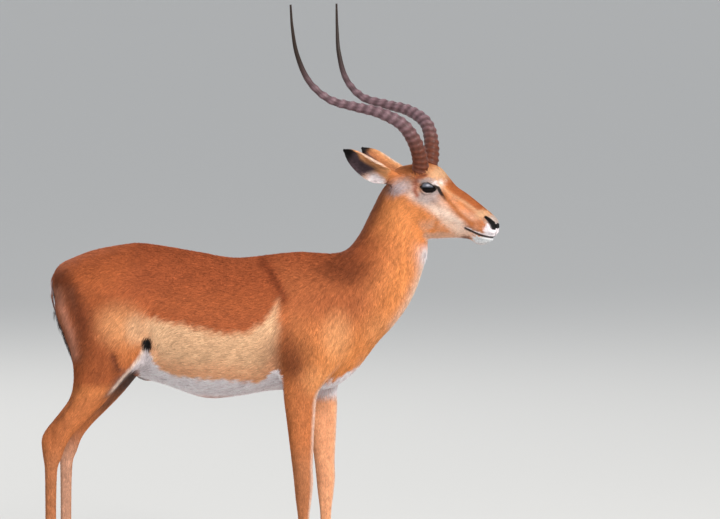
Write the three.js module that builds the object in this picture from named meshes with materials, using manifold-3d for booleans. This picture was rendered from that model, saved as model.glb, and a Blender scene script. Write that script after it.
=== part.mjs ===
// A life-size adult male impala, standing square with its head turned a little to its right.
// Millimetres, +Z up, +X towards the head, +Y towards the animal's left side, floor at Z = 0.
// The flesh is lofted from cross sections, joined into one body, and parted again into named lengths.
import * as THREE from "three";
import { mergeVertices } from "three/addons/utils/BufferGeometryUtils.js";
import Module from "manifold-3d";

// ---------------------------------------------------------------- driving dimensions

const PART_GAP = 0.35; // clear space left between neighbouring pieces
const REACH = 1600; // side of the large boxes that part the body

const HEAD_YAW = THREE.MathUtils.degToRad(20); // the head turns this far to its right
const HEAD_PIVOT = new THREE.Vector3(335, -6, 0); // upright axis about which the head turns

const EYE_RADIUS = 21;
const EYE_CENTRE = { ahead: 79, side: 43, up: 1034 };

const HORN_BASE_RADIUS = 21.5;
const HORN_TIP_RADIUS = 2.5;
const HORN_TAPER = 1.15; // 1 would be a straight cone
const HORN_RINGS = 15; // knobbly rings, on the lower RINGED_SHARE of its length
const RINGED_SHARE = 0.75;
const RING_HEIGHT = 1.4;

const TAIL_LENGTH = 300;

const CLAW = { length: 58, width: 21, splay: 4, apart: 10.5, heelBack: 2 };

// Faces round each form.
const TRUNK_SIDES = 20;
const HEAD_SIDES = 18;
const LIMB_SIDES = 12;
const TAIL_SIDES = 8;
const HORN_FACETS = { around: 8, along: (2 * HORN_RINGS) / RINGED_SHARE }; // crest, dip, crest, dip
const EAR_FACETS = { around: 5, along: 8 }; // round the cup from rim to rim, and along the leaf
const EYE_FACETS = [12, 8];

// ---------------------------------------------------------------- materials

const finish = (color, roughness) => new THREE.MeshStandardMaterial({ color, roughness, metalness: 0 });
const RUFOUS_COAT = finish(0xa8552a, 0.85);
const FAWN_COAT = finish(0xc98a55, 0.85);
const HORN = finish(0x3a2c2a, 0.5);
const HOOF = finish(0x1c1816, 0.45);
const EYE = finish(0x140d09, 0.08);

// ---------------------------------------------------------------- lofting

const wasm = await Module();
wasm.setup();

// A closed geometry as a manifold-3d solid, on merged positions alone.
function solidOf(geometry) {
  const bare = new THREE.BufferGeometry();
  bare.setAttribute("position", geometry.getAttribute("position"));
  if (geometry.index) bare.setIndex(geometry.index);
  const merged = mergeVertices(bare, 1e-3);
  const mesh = new wasm.Mesh({
    numProp: 3,
    vertProperties: new Float32Array(merged.attributes.position.array),
    triVerts: new Uint32Array(merged.index.array),
  });
  return new wasm.Manifold(mesh);
}

function geometryOf(solid) {
  const mesh = solid.getMesh();
  const geometry = new THREE.BufferGeometry();
  const positions = new Float32Array(mesh.numVert * 3);
  for (let i = 0; i < mesh.numVert; i++) {
    positions.set(mesh.vertProperties.subarray(i * mesh.numProp, i * mesh.numProp + 3), i * 3);
  }
  geometry.setAttribute("position", new THREE.BufferAttribute(positions, 3));
  geometry.setIndex(new THREE.BufferAttribute(new Uint32Array(mesh.triVerts), 1));
  return geometry;
}

// Joins rings of equally many points into one closed skin, with a fan over each end.
function skinOver(rings) {
  const sides = rings[0].length;
  const points = rings.flat();
  const middle = (ring) => ring.reduce((sum, p) => sum.add(p), new THREE.Vector3()).divideScalar(sides);
  const start = points.push(middle(rings[0])) - 1;
  const end = points.push(middle(rings[rings.length - 1])) - 1;
  const faces = [];
  for (let i = 0; i < sides; i++) {
    const j = (i + 1) % sides;
    for (let r = 0; r + 1 < rings.length; r++) {
      const a = r * sides;
      const b = a + sides;
      faces.push(a + i, b + i, b + j, a + i, b + j, a + j);
    }
    const last = (rings.length - 1) * sides;
    faces.push(start, i, j, end, last + j, last + i);
  }
  const geometry = new THREE.BufferGeometry().setFromPoints(points);
  geometry.setIndex(faces);
  return geometry;
}

// A closed skin always comes out facing outwards, whichever way its rings run.
function outward(geometry) {
  const position = geometry.getAttribute("position");
  const index = geometry.index.array;
  const [a, b, c] = [new THREE.Vector3(), new THREE.Vector3(), new THREE.Vector3()];
  let volume = 0;
  for (let i = 0; i < index.length; i += 3) {
    a.fromBufferAttribute(position, index[i]);
    b.fromBufferAttribute(position, index[i + 1]);
    c.fromBufferAttribute(position, index[i + 2]);
    volume += a.dot(b.cross(c));
  }
  if (volume < 0) {
    for (let i = 0; i < index.length; i += 3) [index[i + 1], index[i + 2]] = [index[i + 2], index[i + 1]];
  }
  return geometry;
}

const DEFAULTS = { side: 0, level: 0.5, slimA: 0, slimB: 0, yaw: 0, full: 1 };

// One number flowing smoothly through four stations, at the share t of the way from the second to
// the third.
function flow([before, from, to, after], t) {
  const leave = (to - before) / 2;
  const arrive = (after - from) / 2;
  const rise = to - from;
  return from + t * (leave + t * (3 * rise - 2 * leave - arrive + t * (leave + arrive - 2 * rise)));
}

// Stations carry two outline points in side view, a (top or front) and b (bottom or back), and the
// half width between them. Every field runs smoothly from station to station.
function smoothStations(stations, stepsPerSpan) {
  const rows = stations.map(({ a, b, ...rest }) => {
    return { ...DEFAULTS, ax: a[0], az: a[1], bx: b[0], bz: b[1], ...rest };
  });
  const rowAt = (i) => rows[THREE.MathUtils.clamp(i, 0, rows.length - 1)];
  const made = [rows[0]];
  for (let i = 0; i + 1 < rows.length; i++) {
    const four = [rowAt(i - 1), rows[i], rows[i + 1], rowAt(i + 2)];
    for (let step = 1; step <= stepsPerSpan; step++) {
      const between = Object.keys(rows[0]).map((field) => {
        const values = four.map((station) => station[field]);
        return [field, flow(values, step / stepsPerSpan)];
      });
      made.push(Object.fromEntries(between));
    }
  }
  return made;
}

// One cross section: an oval whose widest level lies the share `level` of the way from b to a, and
// which slims by slimA towards a and by slimB towards b. A `full` below 1 makes it boxier. yaw turns
// it about its own middle while its outline in side view stays put.
function ringOf(s, sides) {
  const middleX = s.bx + (s.ax - s.bx) * s.level;
  const middleZ = s.bz + (s.az - s.bz) * s.level;
  const yaw = THREE.MathUtils.degToRad(s.yaw);
  const ring = [];
  for (let i = 0; i < sides; i++) {
    const angle = (2 * Math.PI * (i + 0.5)) / sides;
    const up = Math.sin(angle);
    const [endX, endZ] = up > 0 ? [s.ax, s.az] : [s.bx, s.bz];
    const slim = 1 - (up > 0 ? s.slimA : s.slimB) * up * up;
    const out = Math.cos(angle);
    const lateral = s.wide * slim * Math.sign(out) * Math.pow(Math.abs(out), s.full);
    const ahead = (endX - middleX) * Math.abs(up);
    const height = middleZ + (endZ - middleZ) * Math.abs(up);
    ring.push(
      new THREE.Vector3(
        middleX + ahead + lateral * Math.sin(yaw),
        s.side - ahead * Math.tan(yaw) + lateral * Math.cos(yaw),
        height,
      ),
    );
  }
  return ring;
}

function loft(stations, stepsPerSpan, sides) {
  return solidOf(outward(skinOver(smoothStations(stations, stepsPerSpan).map((s) => ringOf(s, sides)))));
}

// ---------------------------------------------------------------- trunk and neck

const TRUNK_AND_NECK = [
  { a: [-546, 812], b: [-545, 770], wide: 30 },
  { a: [-530, 839], b: [-537, 728], wide: 70, slimA: 0.1, slimB: 0.15 },
  { a: [-490, 859], b: [-508, 688], wide: 98, slimA: 0.2, slimB: 0.15 },
  { a: [-440, 876], b: [-445, 650], wide: 110, level: 0.52, slimA: 0.22, slimB: 0.15 },
  { a: [-377, 888], b: [-385, 600], wide: 115, level: 0.52, slimA: 0.25, slimB: 0.15 },
  { a: [-327, 893], b: [-330, 560], wide: 117, level: 0.5, slimA: 0.3, slimB: 0.15 },
  { a: [-257, 884], b: [-262, 535], wide: 124, level: 0.46, slimA: 0.38, slimB: 0.12 },
  { a: [-177, 870], b: [-180, 511], wide: 134, level: 0.44, slimA: 0.42, slimB: 0.12 },
  { a: [-87, 856], b: [-90, 509], wide: 137, level: 0.44, slimA: 0.45, slimB: 0.15 },
  { a: [13, 866], b: [0, 522], wide: 130, level: 0.44, slimA: 0.5, slimB: 0.22 },
  { a: [73, 871], b: [75, 524], wide: 120, level: 0.42, slimA: 0.52, slimB: 0.3 },
  { a: [125, 868], b: [150, 528], wide: 110, level: 0.42, slimA: 0.52, slimB: 0.35 },
  { a: [160, 868], b: [208, 566], wide: 100, level: 0.42, slimA: 0.5, slimB: 0.35 },
  { a: [186, 876], b: [262, 634], wide: 88, level: 0.44, slimA: 0.45, slimB: 0.3, yaw: 1 },
  { a: [207, 896], b: [310, 684], wide: 80, level: 0.46, slimA: 0.38, slimB: 0.25, yaw: 3, side: 1 },
  { a: [226, 925], b: [349, 740], wide: 73, level: 0.48, slimA: 0.3, slimB: 0.2, yaw: 6, side: 1 },
  { a: [242, 957], b: [373, 802], wide: 67, level: 0.5, slimA: 0.25, slimB: 0.15, yaw: 10, side: 0 },
  { a: [259, 991], b: [387, 856], wide: 62, level: 0.5, slimA: 0.22, slimB: 0.15, yaw: 15, side: -3 },
  { a: [279, 1028], b: [392, 900], wide: 60, level: 0.5, slimA: 0.2, slimB: 0.15, yaw: 19, side: -6 },
  { a: [305, 1058], b: [392, 935], wide: 54, level: 0.5, slimA: 0.2, slimB: 0.15, yaw: 20, side: -7 },
];

// ---------------------------------------------------------------- head

// Outline points of the head as seen square from the side of the whole animal.
const HEAD = [
  { a: [300, 1066], b: [334, 950], wide: 40, level: 0.6 },
  { a: [318, 1084], b: [354, 915], wide: 54, level: 0.62, slimA: 0.25, slimB: 0.25 },
  { a: [350, 1091], b: [382, 901], wide: 57, level: 0.62, slimA: 0.2, slimB: 0.35 },
  { a: [385, 1094], b: [405, 901], wide: 59, level: 0.64, slimA: 0.2, slimB: 0.45 },
  { a: [418, 1086], b: [427, 903], wide: 60, level: 0.66, slimA: 0.25, slimB: 0.5 },
  { a: [440, 1063], b: [443, 904], wide: 53, level: 0.66, slimA: 0.3, slimB: 0.5 },
  { a: [462, 1038], b: [460, 905], wide: 43, level: 0.62, slimA: 0.3, slimB: 0.45 },
  { a: [487, 1021], b: [479, 905], wide: 36, level: 0.58, slimA: 0.3, slimB: 0.4 },
  { a: [510, 1003], b: [496, 903], wide: 31, level: 0.56, slimA: 0.28, slimB: 0.35 },
  { a: [531, 986], b: [511, 897], wide: 28, level: 0.55, slimA: 0.25, slimB: 0.3 },
  { a: [548, 972], b: [528, 894], wide: 26, level: 0.56, slimA: 0.2, slimB: 0.3 },
  { a: [561, 958], b: [543, 901], wide: 23, level: 0.58, slimA: 0.2, slimB: 0.25 },
  { a: [567, 940], b: [557, 913], wide: 14, level: 0.6 },
];

const headStations = HEAD.map((s) => ({
  ...s,
  yaw: THREE.MathUtils.radToDeg(HEAD_YAW),
  side: HEAD_PIVOT.y - ((s.a[0] + s.b[0]) / 2 - HEAD_PIVOT.x) * Math.tan(HEAD_YAW),
}));

// ---------------------------------------------------------------- legs

// Stations of the near (right) foreleg, from inside the shoulder down to the coronet.
const FORELEG = [
  { a: [146, 806], b: [74, 806], wide: 10, side: 36, yaw: 10 },
  { a: [186, 742], b: [50, 742], wide: 30, side: 66, yaw: 14 },
  { a: [210, 668], b: [30, 664], wide: 40, side: 76, yaw: 18 },
  { a: [190, 608], b: [20, 604], wide: 41, side: 77, yaw: 16 },
  { a: [150, 562], b: [24, 560], wide: 38, side: 76, yaw: 8 },
  { a: [120, 522], b: [30, 522], wide: 32, side: 75 },
  { a: [112, 468], b: [37, 468], wide: 27, side: 74 },
  { a: [106, 345], b: [52, 345], wide: 21.5, side: 74 },
  { a: [107, 300], b: [57, 300], wide: 22.5, side: 74 },
  { a: [103, 258], b: [61, 258], wide: 18.5, side: 74 },
  { a: [97, 205], b: [67, 205], wide: 13.5, side: 74 },
  { a: [97, 145], b: [67, 145], wide: 13.5, side: 74 },
  { a: [103, 108], b: [62, 104], wide: 17, side: 74 },
  { a: [113, 80], b: [77, 64], wide: 15.5, side: 74 },
  { a: [122, 53], b: [92, 37], wide: 18.5, side: 74 },
  { a: [128, 36], b: [98, 14], wide: 19, side: 74 },
];

// Stations of the near (right) hind leg, from inside the hip down to the coronet.
const HINDLEG = [
  { a: [-340, 812], b: [-515, 796], wide: 20, side: 44, full: 0.8 },
  { a: [-306, 730], b: [-538, 736], wide: 46, side: 62, full: 0.72 },
  { a: [-297, 652], b: [-517, 672], wide: 53, side: 67, full: 0.72 },
  { a: [-322, 594], b: [-496, 608], wide: 50, side: 71, full: 0.75 },
  { a: [-366, 548], b: [-492, 556], wide: 42, side: 75, full: 0.85 },
  { a: [-404, 507], b: [-501, 510], wide: 33, side: 78 },
  { a: [-444, 466], b: [-531, 468], wide: 26, side: 80 },
  { a: [-480, 430], b: [-560, 432], wide: 21.5, side: 81 },
  { a: [-505, 398], b: [-571, 406], wide: 20, side: 81 },
  { a: [-519, 362], b: [-568, 368], wide: 18.5, side: 81 },
  { a: [-531, 318], b: [-563, 322], wide: 14, side: 81 },
  { a: [-533, 155], b: [-563, 155], wide: 13, side: 81 },
  { a: [-526, 113], b: [-566, 109], wide: 16.5, side: 81 },
  { a: [-514, 84], b: [-550, 68], wide: 15, side: 81 },
  { a: [-505, 55], b: [-536, 38], wide: 18, side: 81 },
  { a: [-499, 38], b: [-530, 14], wide: 18.5, side: 81 },
];

const FAR_FORE_STEP = 54; // the left forefoot stands this far ahead of the right one
const FAR_HIND_STEP = 28; // and the left hind foot this far ahead of its fellow
const FORE_HINGE = { top: 700, bottom: 470 }; // the step grows from nothing to full between these heights
const HIND_HINGE = { top: 760, bottom: 500 };

const smoothStep = THREE.MathUtils.smoothstep;

function stepOf(limb, height) {
  return limb.step * (1 - smoothStep(height, limb.hinge.bottom, limb.hinge.top));
}

const LIMBS = [
  { name: "foreleg_right", stations: FORELEG, hand: -1, step: 0, hinge: FORE_HINGE },
  { name: "foreleg_left", stations: FORELEG, hand: 1, step: FAR_FORE_STEP, hinge: FORE_HINGE },
  { name: "hindleg_right", stations: HINDLEG, hand: -1, step: 0, hinge: HIND_HINGE },
  { name: "hindleg_left", stations: HINDLEG, hand: 1, step: FAR_HIND_STEP, hinge: HIND_HINGE },
];

function limbSolid(limb) {
  const moved = limb.stations.map((s) => ({
    ...s,
    a: [s.a[0] + stepOf(limb, s.a[1]), s.a[1]],
    b: [s.b[0] + stepOf(limb, s.b[1]), s.b[1]],
    side: limb.hand * s.side,
    yaw: limb.hand * (s.yaw ?? 0),
  }));
  return loft(moved, 1, LIMB_SIDES);
}

// ---------------------------------------------------------------- hooves

// The coronet, where flesh meets horn, rises from heel to toe.
const CORONET = { heelHeight: 24, slope: 0.34 };

function coronetPlane(heelX, towardsFlesh) {
  const up = towardsFlesh ? 1 : -1;
  return [
    [heelX, 0, CORONET.heelHeight],
    [-CORONET.slope * up, 0, up],
  ];
}

// One claw, drawn with its heel at the origin and its toe along +X: a block with a flat sole, which
// the coronet plane cuts to height. hand says which side is the outer one.
function clawBlock(hand) {
  const outline = [
    { along: 0, top: 22, wide: 0.72 },
    { along: 0.1, top: 40, wide: 0.94 },
    { along: 0.4, top: 60, wide: 1 },
    { along: 0.6, top: 36, wide: 0.92 },
    { along: 0.84, top: 17, wide: 0.62 },
    { along: 1, top: 3, wide: 0.2 },
  ];
  const rings = outline.map((o) => {
    const inner = -hand * CLAW.width * 0.44 * o.wide;
    const outer = hand * CLAW.width * 0.56 * o.wide;
    const x = o.along * CLAW.length;
    return [
      new THREE.Vector3(x, inner, 0),
      new THREE.Vector3(x, outer, 0),
      new THREE.Vector3(x, outer * 0.94, o.top * 0.5),
      new THREE.Vector3(x, outer * 0.6, o.top * 0.94),
      new THREE.Vector3(x, inner * 0.2, o.top),
      new THREE.Vector3(x, inner * 0.9, o.top * 0.9),
    ];
  });
  return solidOf(outward(skinOver(rings)));
}

const heelOf = (limb) => limb.stations[limb.stations.length - 1].b[0] + limb.step - CLAW.heelBack;

function clawsOf(limb) {
  const heelX = heelOf(limb);
  const { side } = limb.stations[limb.stations.length - 1];
  const horn = beyond(...coronetPlane(heelX, false));
  return ["inner", "outer"].map((which) => {
    const hand = which === "outer" ? limb.hand : -limb.hand;
    const claw = clawBlock(hand)
      .rotate([0, 0, hand * CLAW.splay])
      .translate([heelX, limb.hand * side + hand * CLAW.apart, 0]);
    return { name: `${limb.name}_claw_${which}`, solid: claw.intersect(horn) };
  });
}

// ---------------------------------------------------------------- tail

// It leaves the rump backwards, then hangs down and in between the buttocks.
const TAIL_TIP_HEIGHT = 822 - TAIL_LENGTH;
const TAIL = [
  { a: [-546.5, 812], b: [-545.5, 780], wide: 13 },
  { a: [-556, 802], b: [-547.5, 774], wide: 15 },
  { a: [-560, 776], b: [-548, 762], wide: 16 },
  { a: [-557, 744], b: [-543.5, 741], wide: 17 },
  { a: [-546, 709], b: [-529, 705], wide: 17 },
  { a: [-532, 666], b: [-517, 662], wide: 16 },
  { a: [-515, 622], b: [-500, 618], wide: 15 },
  { a: [-499, 576], b: [-487, 572], wide: 11 },
  { a: [-489, TAIL_TIP_HEIGHT], b: [-484, TAIL_TIP_HEIGHT - 2], wide: 3 },
];

// ---------------------------------------------------------------- horns and ears, in the head's frame

// +X ahead along the face in plan, +Y to the animal's left, Z the height above the floor.
const HORN_LINE = [
  [48, 24, 1055],
  [54, 42, 1106],
  [45, 66, 1154],
  [22, 88, 1193],
  [-30, 106, 1221],
  [-91, 113, 1235],
  [-157, 120, 1253],
  [-204, 133, 1295],
  [-231, 149, 1362],
  [-240, 160, 1430],
  [-243, 164, 1488],
];

function headFrameLine(points, hand) {
  return new THREE.CatmullRomCurve3(points.map(([x, y, z]) => new THREE.Vector3(x, hand * y, z)));
}

// Rings of a tube along a line, square to it.
function tubeRings(line, facets, radiusAt) {
  const frames = line.computeFrenetFrames(facets.along, false);
  const rings = [];
  for (let i = 0; i <= facets.along; i++) {
    const t = i / facets.along;
    const centre = line.getPointAt(t);
    const ring = [];
    for (let k = 0; k < facets.around; k++) {
      const angle = (2 * Math.PI * k) / facets.around;
      const r = radiusAt(t);
      const spoke = frames.normals[i].clone().multiplyScalar(Math.cos(angle) * r);
      spoke.addScaledVector(frames.binormals[i], Math.sin(angle) * r);
      ring.push(centre.clone().add(spoke));
    }
    rings.push(ring);
  }
  return rings;
}

function hornRadius(t) {
  const taper = HORN_TIP_RADIUS + (HORN_BASE_RADIUS - HORN_TIP_RADIUS) * Math.pow(1 - t, HORN_TAPER);
  const fade = 1 - smoothStep(t, RINGED_SHARE * 0.8, RINGED_SHARE);
  return taper + RING_HEIGHT * fade * Math.cos((2 * Math.PI * HORN_RINGS * t) / RINGED_SHARE);
}

function hornGeometry(hand, extra) {
  const line = headFrameLine(HORN_LINE, hand);
  return outward(skinOver(tubeRings(line, HORN_FACETS, (t) => hornRadius(t) + extra)));
}

// The ear is a cupped leaf: each ring is a crescent, thick at the back and open to the outside.
const EAR_LINE = [
  [2, 46, 1052],
  [-62, 60, 1079],
  [-139, 66, 1127],
];
const LEFT_EAR_DROP = 9; // the left ear sags this much more in the middle
const EAR_HALF_WIDTH = 31;
const EAR_THICKNESS = 5;
const EAR_TIP_HALF_WIDTH = 3; // the point is rounded off
const EAR_CUP = 0.72; // depth of the cup as a share of the half width

// A leaf's outline: half wide at the root, full from a third of the way out, and pointed.
const leafShare = (t) => Math.min(1, 0.5 + 1.45 * t) * (1 - Math.pow(t, 5.5));

function earLine(hand) {
  const [root, middle, tip] = EAR_LINE;
  const drop = hand > 0 ? LEFT_EAR_DROP : 0;
  return headFrameLine([root, [middle[0], middle[1], middle[2] - drop], tip], hand);
}

function earRings(hand) {
  const line = earLine(hand);
  const outwards = new THREE.Vector3(0.1, hand * 0.86, -0.5).normalize(); // the way the cup opens
  const rings = [];
  for (let i = 0; i <= EAR_FACETS.along; i++) {
    const t = i / EAR_FACETS.along;
    const centre = line.getPointAt(t);
    const along = line.getTangentAt(t);
    const open = outwards.clone().addScaledVector(along, -outwards.dot(along)).normalize();
    const across = new THREE.Vector3().crossVectors(along, open);
    const half = Math.max(EAR_TIP_HALF_WIDTH, EAR_HALF_WIDTH * leafShare(t));
    const cup = half * EAR_CUP * (1 - 0.35 * t);
    const thick = Math.min(EAR_THICKNESS, half) * (1 - 0.45 * t);
    const opened = smoothStep(t, 0.05, 0.4); // the root is closed like a bud
    const back = [];
    const hollow = [];
    for (let k = 0; k <= EAR_FACETS.around; k++) {
      const angle = -Math.PI / 2 + (Math.PI * k) / EAR_FACETS.around;
      const depth = cup * (0.5 - Math.cos(angle));
      const pointAt = (acrossBy, openBy) =>
        centre.clone().addScaledVector(across, acrossBy).addScaledVector(open, openBy);
      back.push(pointAt(half * Math.sin(angle), depth));
      const hollowDepth = THREE.MathUtils.lerp(half * 0.6 * Math.cos(angle), depth + thick, opened);
      hollow.unshift(pointAt((half - thick * 0.4) * Math.sin(angle), hollowDepth));
    }
    rings.push([...back, ...hollow]);
  }
  return rings;
}

// ---------------------------------------------------------------- joining and parting the flesh

const headTurn = new THREE.Matrix4()
  .makeTranslation(HEAD_PIVOT)
  .multiply(new THREE.Matrix4().makeRotationZ(-HEAD_YAW));

// The part of space beyond a point, on the side that `towards` points to.
function beyond(point, towards, gap = 0) {
  const direction = new THREE.Vector3(...towards).normalize();
  const centre = new THREE.Vector3(...point).addScaledVector(direction, REACH / 2 - gap);
  const turned = new THREE.Quaternion().setFromUnitVectors(new THREE.Vector3(1, 0, 0), direction);
  const box = new THREE.BoxGeometry(REACH, 2 * REACH, 2 * REACH);
  box.applyMatrix4(new THREE.Matrix4().compose(centre, turned, new THREE.Vector3(1, 1, 1)));
  return solidOf(box);
}

// Splits `solid` at the region where all the half spaces meet: [what lies inside, the rest].
function partAt(solid, planes) {
  const region = (gap) =>
    planes.map(([point, towards]) => beyond(point, towards, gap)).reduce((a, b) => a.intersect(b));
  return [solid.intersect(region(0)), solid.subtract(region(PART_GAP))];
}

const NEAR_AND_FAR = [
  { side: "right", hand: -1 },
  { side: "left", hand: 1 },
];
const inHeadFrame = (geometry) => solidOf(geometry.applyMatrix4(headTurn));

// The largest body of a solid: a slanting cut can leave slivers beside it.
const largest = (solid) => solid.decompose().sort((a, b) => b.volume() - a.volume())[0];

const pieces = [];
const keep = (name, solid, material) => pieces.push({ name, solid: largest(solid), material });

const forms = [
  loft(TRUNK_AND_NECK, 2, TRUNK_SIDES),
  loft(headStations, 2, HEAD_SIDES),
  ...NEAR_AND_FAR.map(({ hand }) => inHeadFrame(outward(skinOver(earRings(hand))))),
  ...LIMBS.map(limbSolid),
];
let body = forms.reduce((a, b) => a.add(b));

function cutOff(planes) {
  const [part, rest] = partAt(body, planes);
  body = rest;
  return part;
}

// Ears: cut square across, just clear of the head.
const EAR_CUT = { along: 0.17, fromMidline: 22 };
const ABOVE_NECK = [
  [285, 0, 1034],
  [-0.35, 0, 1],
];
for (const { side, hand } of NEAR_AND_FAR) {
  const line = earLine(hand);
  const base = line.getPointAt(EAR_CUT.along).applyMatrix4(headTurn).toArray();
  const towardsTip = line.getTangentAt(EAR_CUT.along).transformDirection(headTurn).toArray();
  const outwards = new THREE.Vector3(0, hand, 0).transformDirection(headTurn);
  const besideMidline = HEAD_PIVOT.clone().addScaledVector(outwards, EAR_CUT.fromMidline).toArray();
  const part = cutOff([
    [base, towardsTip],
    [besideMidline, outwards.toArray()],
    ABOVE_NECK,
    [
      [0, 0, 1000],
      [0, 0, 1],
    ],
  ]);
  keep(`ear_${side}`, part, RUFOUS_COAT);
}

// Head: cut from nape to throat, with pockets for the horns and the eyes.
const NAPE_CUT = [
  [331, 0, 966],
  [0.78, -0.28, 0.56],
];
let head = largest(cutOff([NAPE_CUT]));
for (const { side, hand } of NEAR_AND_FAR) {
  const eyeAt = [EYE_CENTRE.ahead, hand * EYE_CENTRE.side, EYE_CENTRE.up];
  const eyeball = (extra) => new THREE.SphereGeometry(EYE_RADIUS + extra, ...EYE_FACETS).translate(...eyeAt);
  head = head.subtract(inHeadFrame(eyeball(PART_GAP)));
  head = head.subtract(inHeadFrame(hornGeometry(hand, PART_GAP)));
  keep(`eye_${side}`, inHeadFrame(eyeball(0)), EYE);
  keep(`horn_${side}`, inHeadFrame(hornGeometry(hand, 0)), HORN);
}
keep("head", head, RUFOUS_COAT);

// Neck: cut from the withers to the front of the chest.
const WITHERS_CUT = [
  [222, 0, 760],
  [0.95, 0, 0.31],
];
keep("neck", cutOff([WITHERS_CUT]), RUFOUS_COAT);

// Legs: each limb comes off whole below the trunk's underline, then is parted from the top down.
const LIMB_CUTS = {
  fore: [
    [
      [0, 0, 519],
      [0, 0, -1],
    ],
    [
      [-10, 0, 0],
      [1, 0, 0],
    ],
  ],
  hind: [
    [
      [-385, 0, 597],
      [-0.6, 0, -0.8],
    ],
    [
      [-300, 0, 0],
      [-1, 0, 0],
    ],
  ],
};
const LENGTHS = {
  fore: [
    { name: "forearm", ends: [0, 322], lean: [0, -1], material: RUFOUS_COAT },
    { name: "cannon", ends: [80, 104], lean: [0.2, -1], material: FAWN_COAT },
  ],
  hind: [
    { name: "thigh", ends: [-440, 512], lean: [-0.45, -1], material: RUFOUS_COAT },
    { name: "gaskin", ends: [-530, 366], lean: [0, -1], material: RUFOUS_COAT },
    { name: "cannon", ends: [-545, 110], lean: [0.2, -1], material: FAWN_COAT },
  ],
};
for (const limb of LIMBS) {
  const end = limb.stations === FORELEG ? "fore" : "hind";
  const ownSide = [
    [0, 0, 0],
    [0, limb.hand, 0],
  ];
  let below = largest(cutOff([...LIMB_CUTS[end], ownSide]));
  for (const { name, ends, lean, material } of LENGTHS[end]) {
    const plane = [
      [ends[0] + limb.step, 0, ends[1]],
      [lean[0], 0, lean[1]],
    ];
    const [under, above] = partAt(below, [plane]);
    keep(`${limb.name}_${name}`, above, material);
    below = largest(under);
  }
  const aboveCoronet = coronetPlane(heelOf(limb), true);
  const flesh = beyond([aboveCoronet[0][0], 0, aboveCoronet[0][2] + PART_GAP * 1.1], aboveCoronet[1]);
  keep(`${limb.name}_pastern`, below.intersect(flesh), FAWN_COAT);
  for (const claw of clawsOf(limb)) keep(claw.name, claw.solid, HOOF);
}

keep("trunk", body, RUFOUS_COAT);
keep("tail", loft(TAIL, 1, TAIL_SIDES), FAWN_COAT);

// ---------------------------------------------------------------- the model

const impala = new THREE.Group();
for (const { name, solid, material } of pieces) {
  const mesh = new THREE.Mesh(geometryOf(solid), material);
  mesh.name = name;
  impala.add(mesh);
}
// The horns reach further to the left than to the right: the origin stays under the middle of the whole.
const extent = new THREE.Box3().setFromObject(impala);
impala.position.y = -(extent.min.y + extent.max.y) / 2;

export default impala;
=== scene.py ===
"""A life-size male impala: one skin with its coat of tufts, horns, eyes, claws, floor, light and camera.

Shapes are worked out in millimetres in the animal's own frame: X towards the head, Y towards its left
with the midline at 0, Z up from the floor. placed() turns them into metres in the shared frame.
"""

import math

import bmesh
import bpy
import numpy as np
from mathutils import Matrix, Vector
from mathutils.bvhtree import BVHTree

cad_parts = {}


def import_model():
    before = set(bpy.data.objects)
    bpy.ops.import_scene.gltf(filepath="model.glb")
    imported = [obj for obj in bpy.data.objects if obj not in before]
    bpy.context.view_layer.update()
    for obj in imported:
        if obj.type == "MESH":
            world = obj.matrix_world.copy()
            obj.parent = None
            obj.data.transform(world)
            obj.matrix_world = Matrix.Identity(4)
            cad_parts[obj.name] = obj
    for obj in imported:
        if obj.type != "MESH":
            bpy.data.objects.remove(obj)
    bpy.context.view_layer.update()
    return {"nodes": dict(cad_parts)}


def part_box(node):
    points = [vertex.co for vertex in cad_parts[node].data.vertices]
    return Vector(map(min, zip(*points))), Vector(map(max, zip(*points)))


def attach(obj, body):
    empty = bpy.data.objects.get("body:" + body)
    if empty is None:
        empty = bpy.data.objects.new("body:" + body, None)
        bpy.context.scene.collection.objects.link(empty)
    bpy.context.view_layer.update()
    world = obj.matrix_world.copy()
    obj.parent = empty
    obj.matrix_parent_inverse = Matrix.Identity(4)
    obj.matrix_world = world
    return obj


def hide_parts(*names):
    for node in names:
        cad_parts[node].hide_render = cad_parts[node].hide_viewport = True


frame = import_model()
random = np.random.default_rng(11)

MM = 0.001
LEFT_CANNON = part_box("hindleg_left_cannon")
RIGHT_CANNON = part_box("hindleg_right_cannon")
MIDLINE = (LEFT_CANNON[0].y + LEFT_CANNON[1].y + RIGHT_CANNON[0].y + RIGHT_CANNON[1].y) / 4
HANDS = {"right": -1, "left": 1}

# ---------------------------------------------------------------- sizes, as in the solids

HEAD_YAW = math.radians(20)
HEAD_PIVOT = (335, -6)
COS_YAW, SIN_YAW = math.cos(HEAD_YAW), math.sin(HEAD_YAW)

EYE_RADIUS = 21
EYE_CENTRE = np.array([79, 43, 1034])


def row(ax, az, bx, bz, wide, side=0, level=0.5, slim_a=0, slim_b=0, yaw=0, full=1):
    """One cross section: its outline points a and b in side view, its half width and how it slims."""
    return (ax, az, bx, bz, wide, side, level, slim_a, slim_b, yaw, full)


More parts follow.
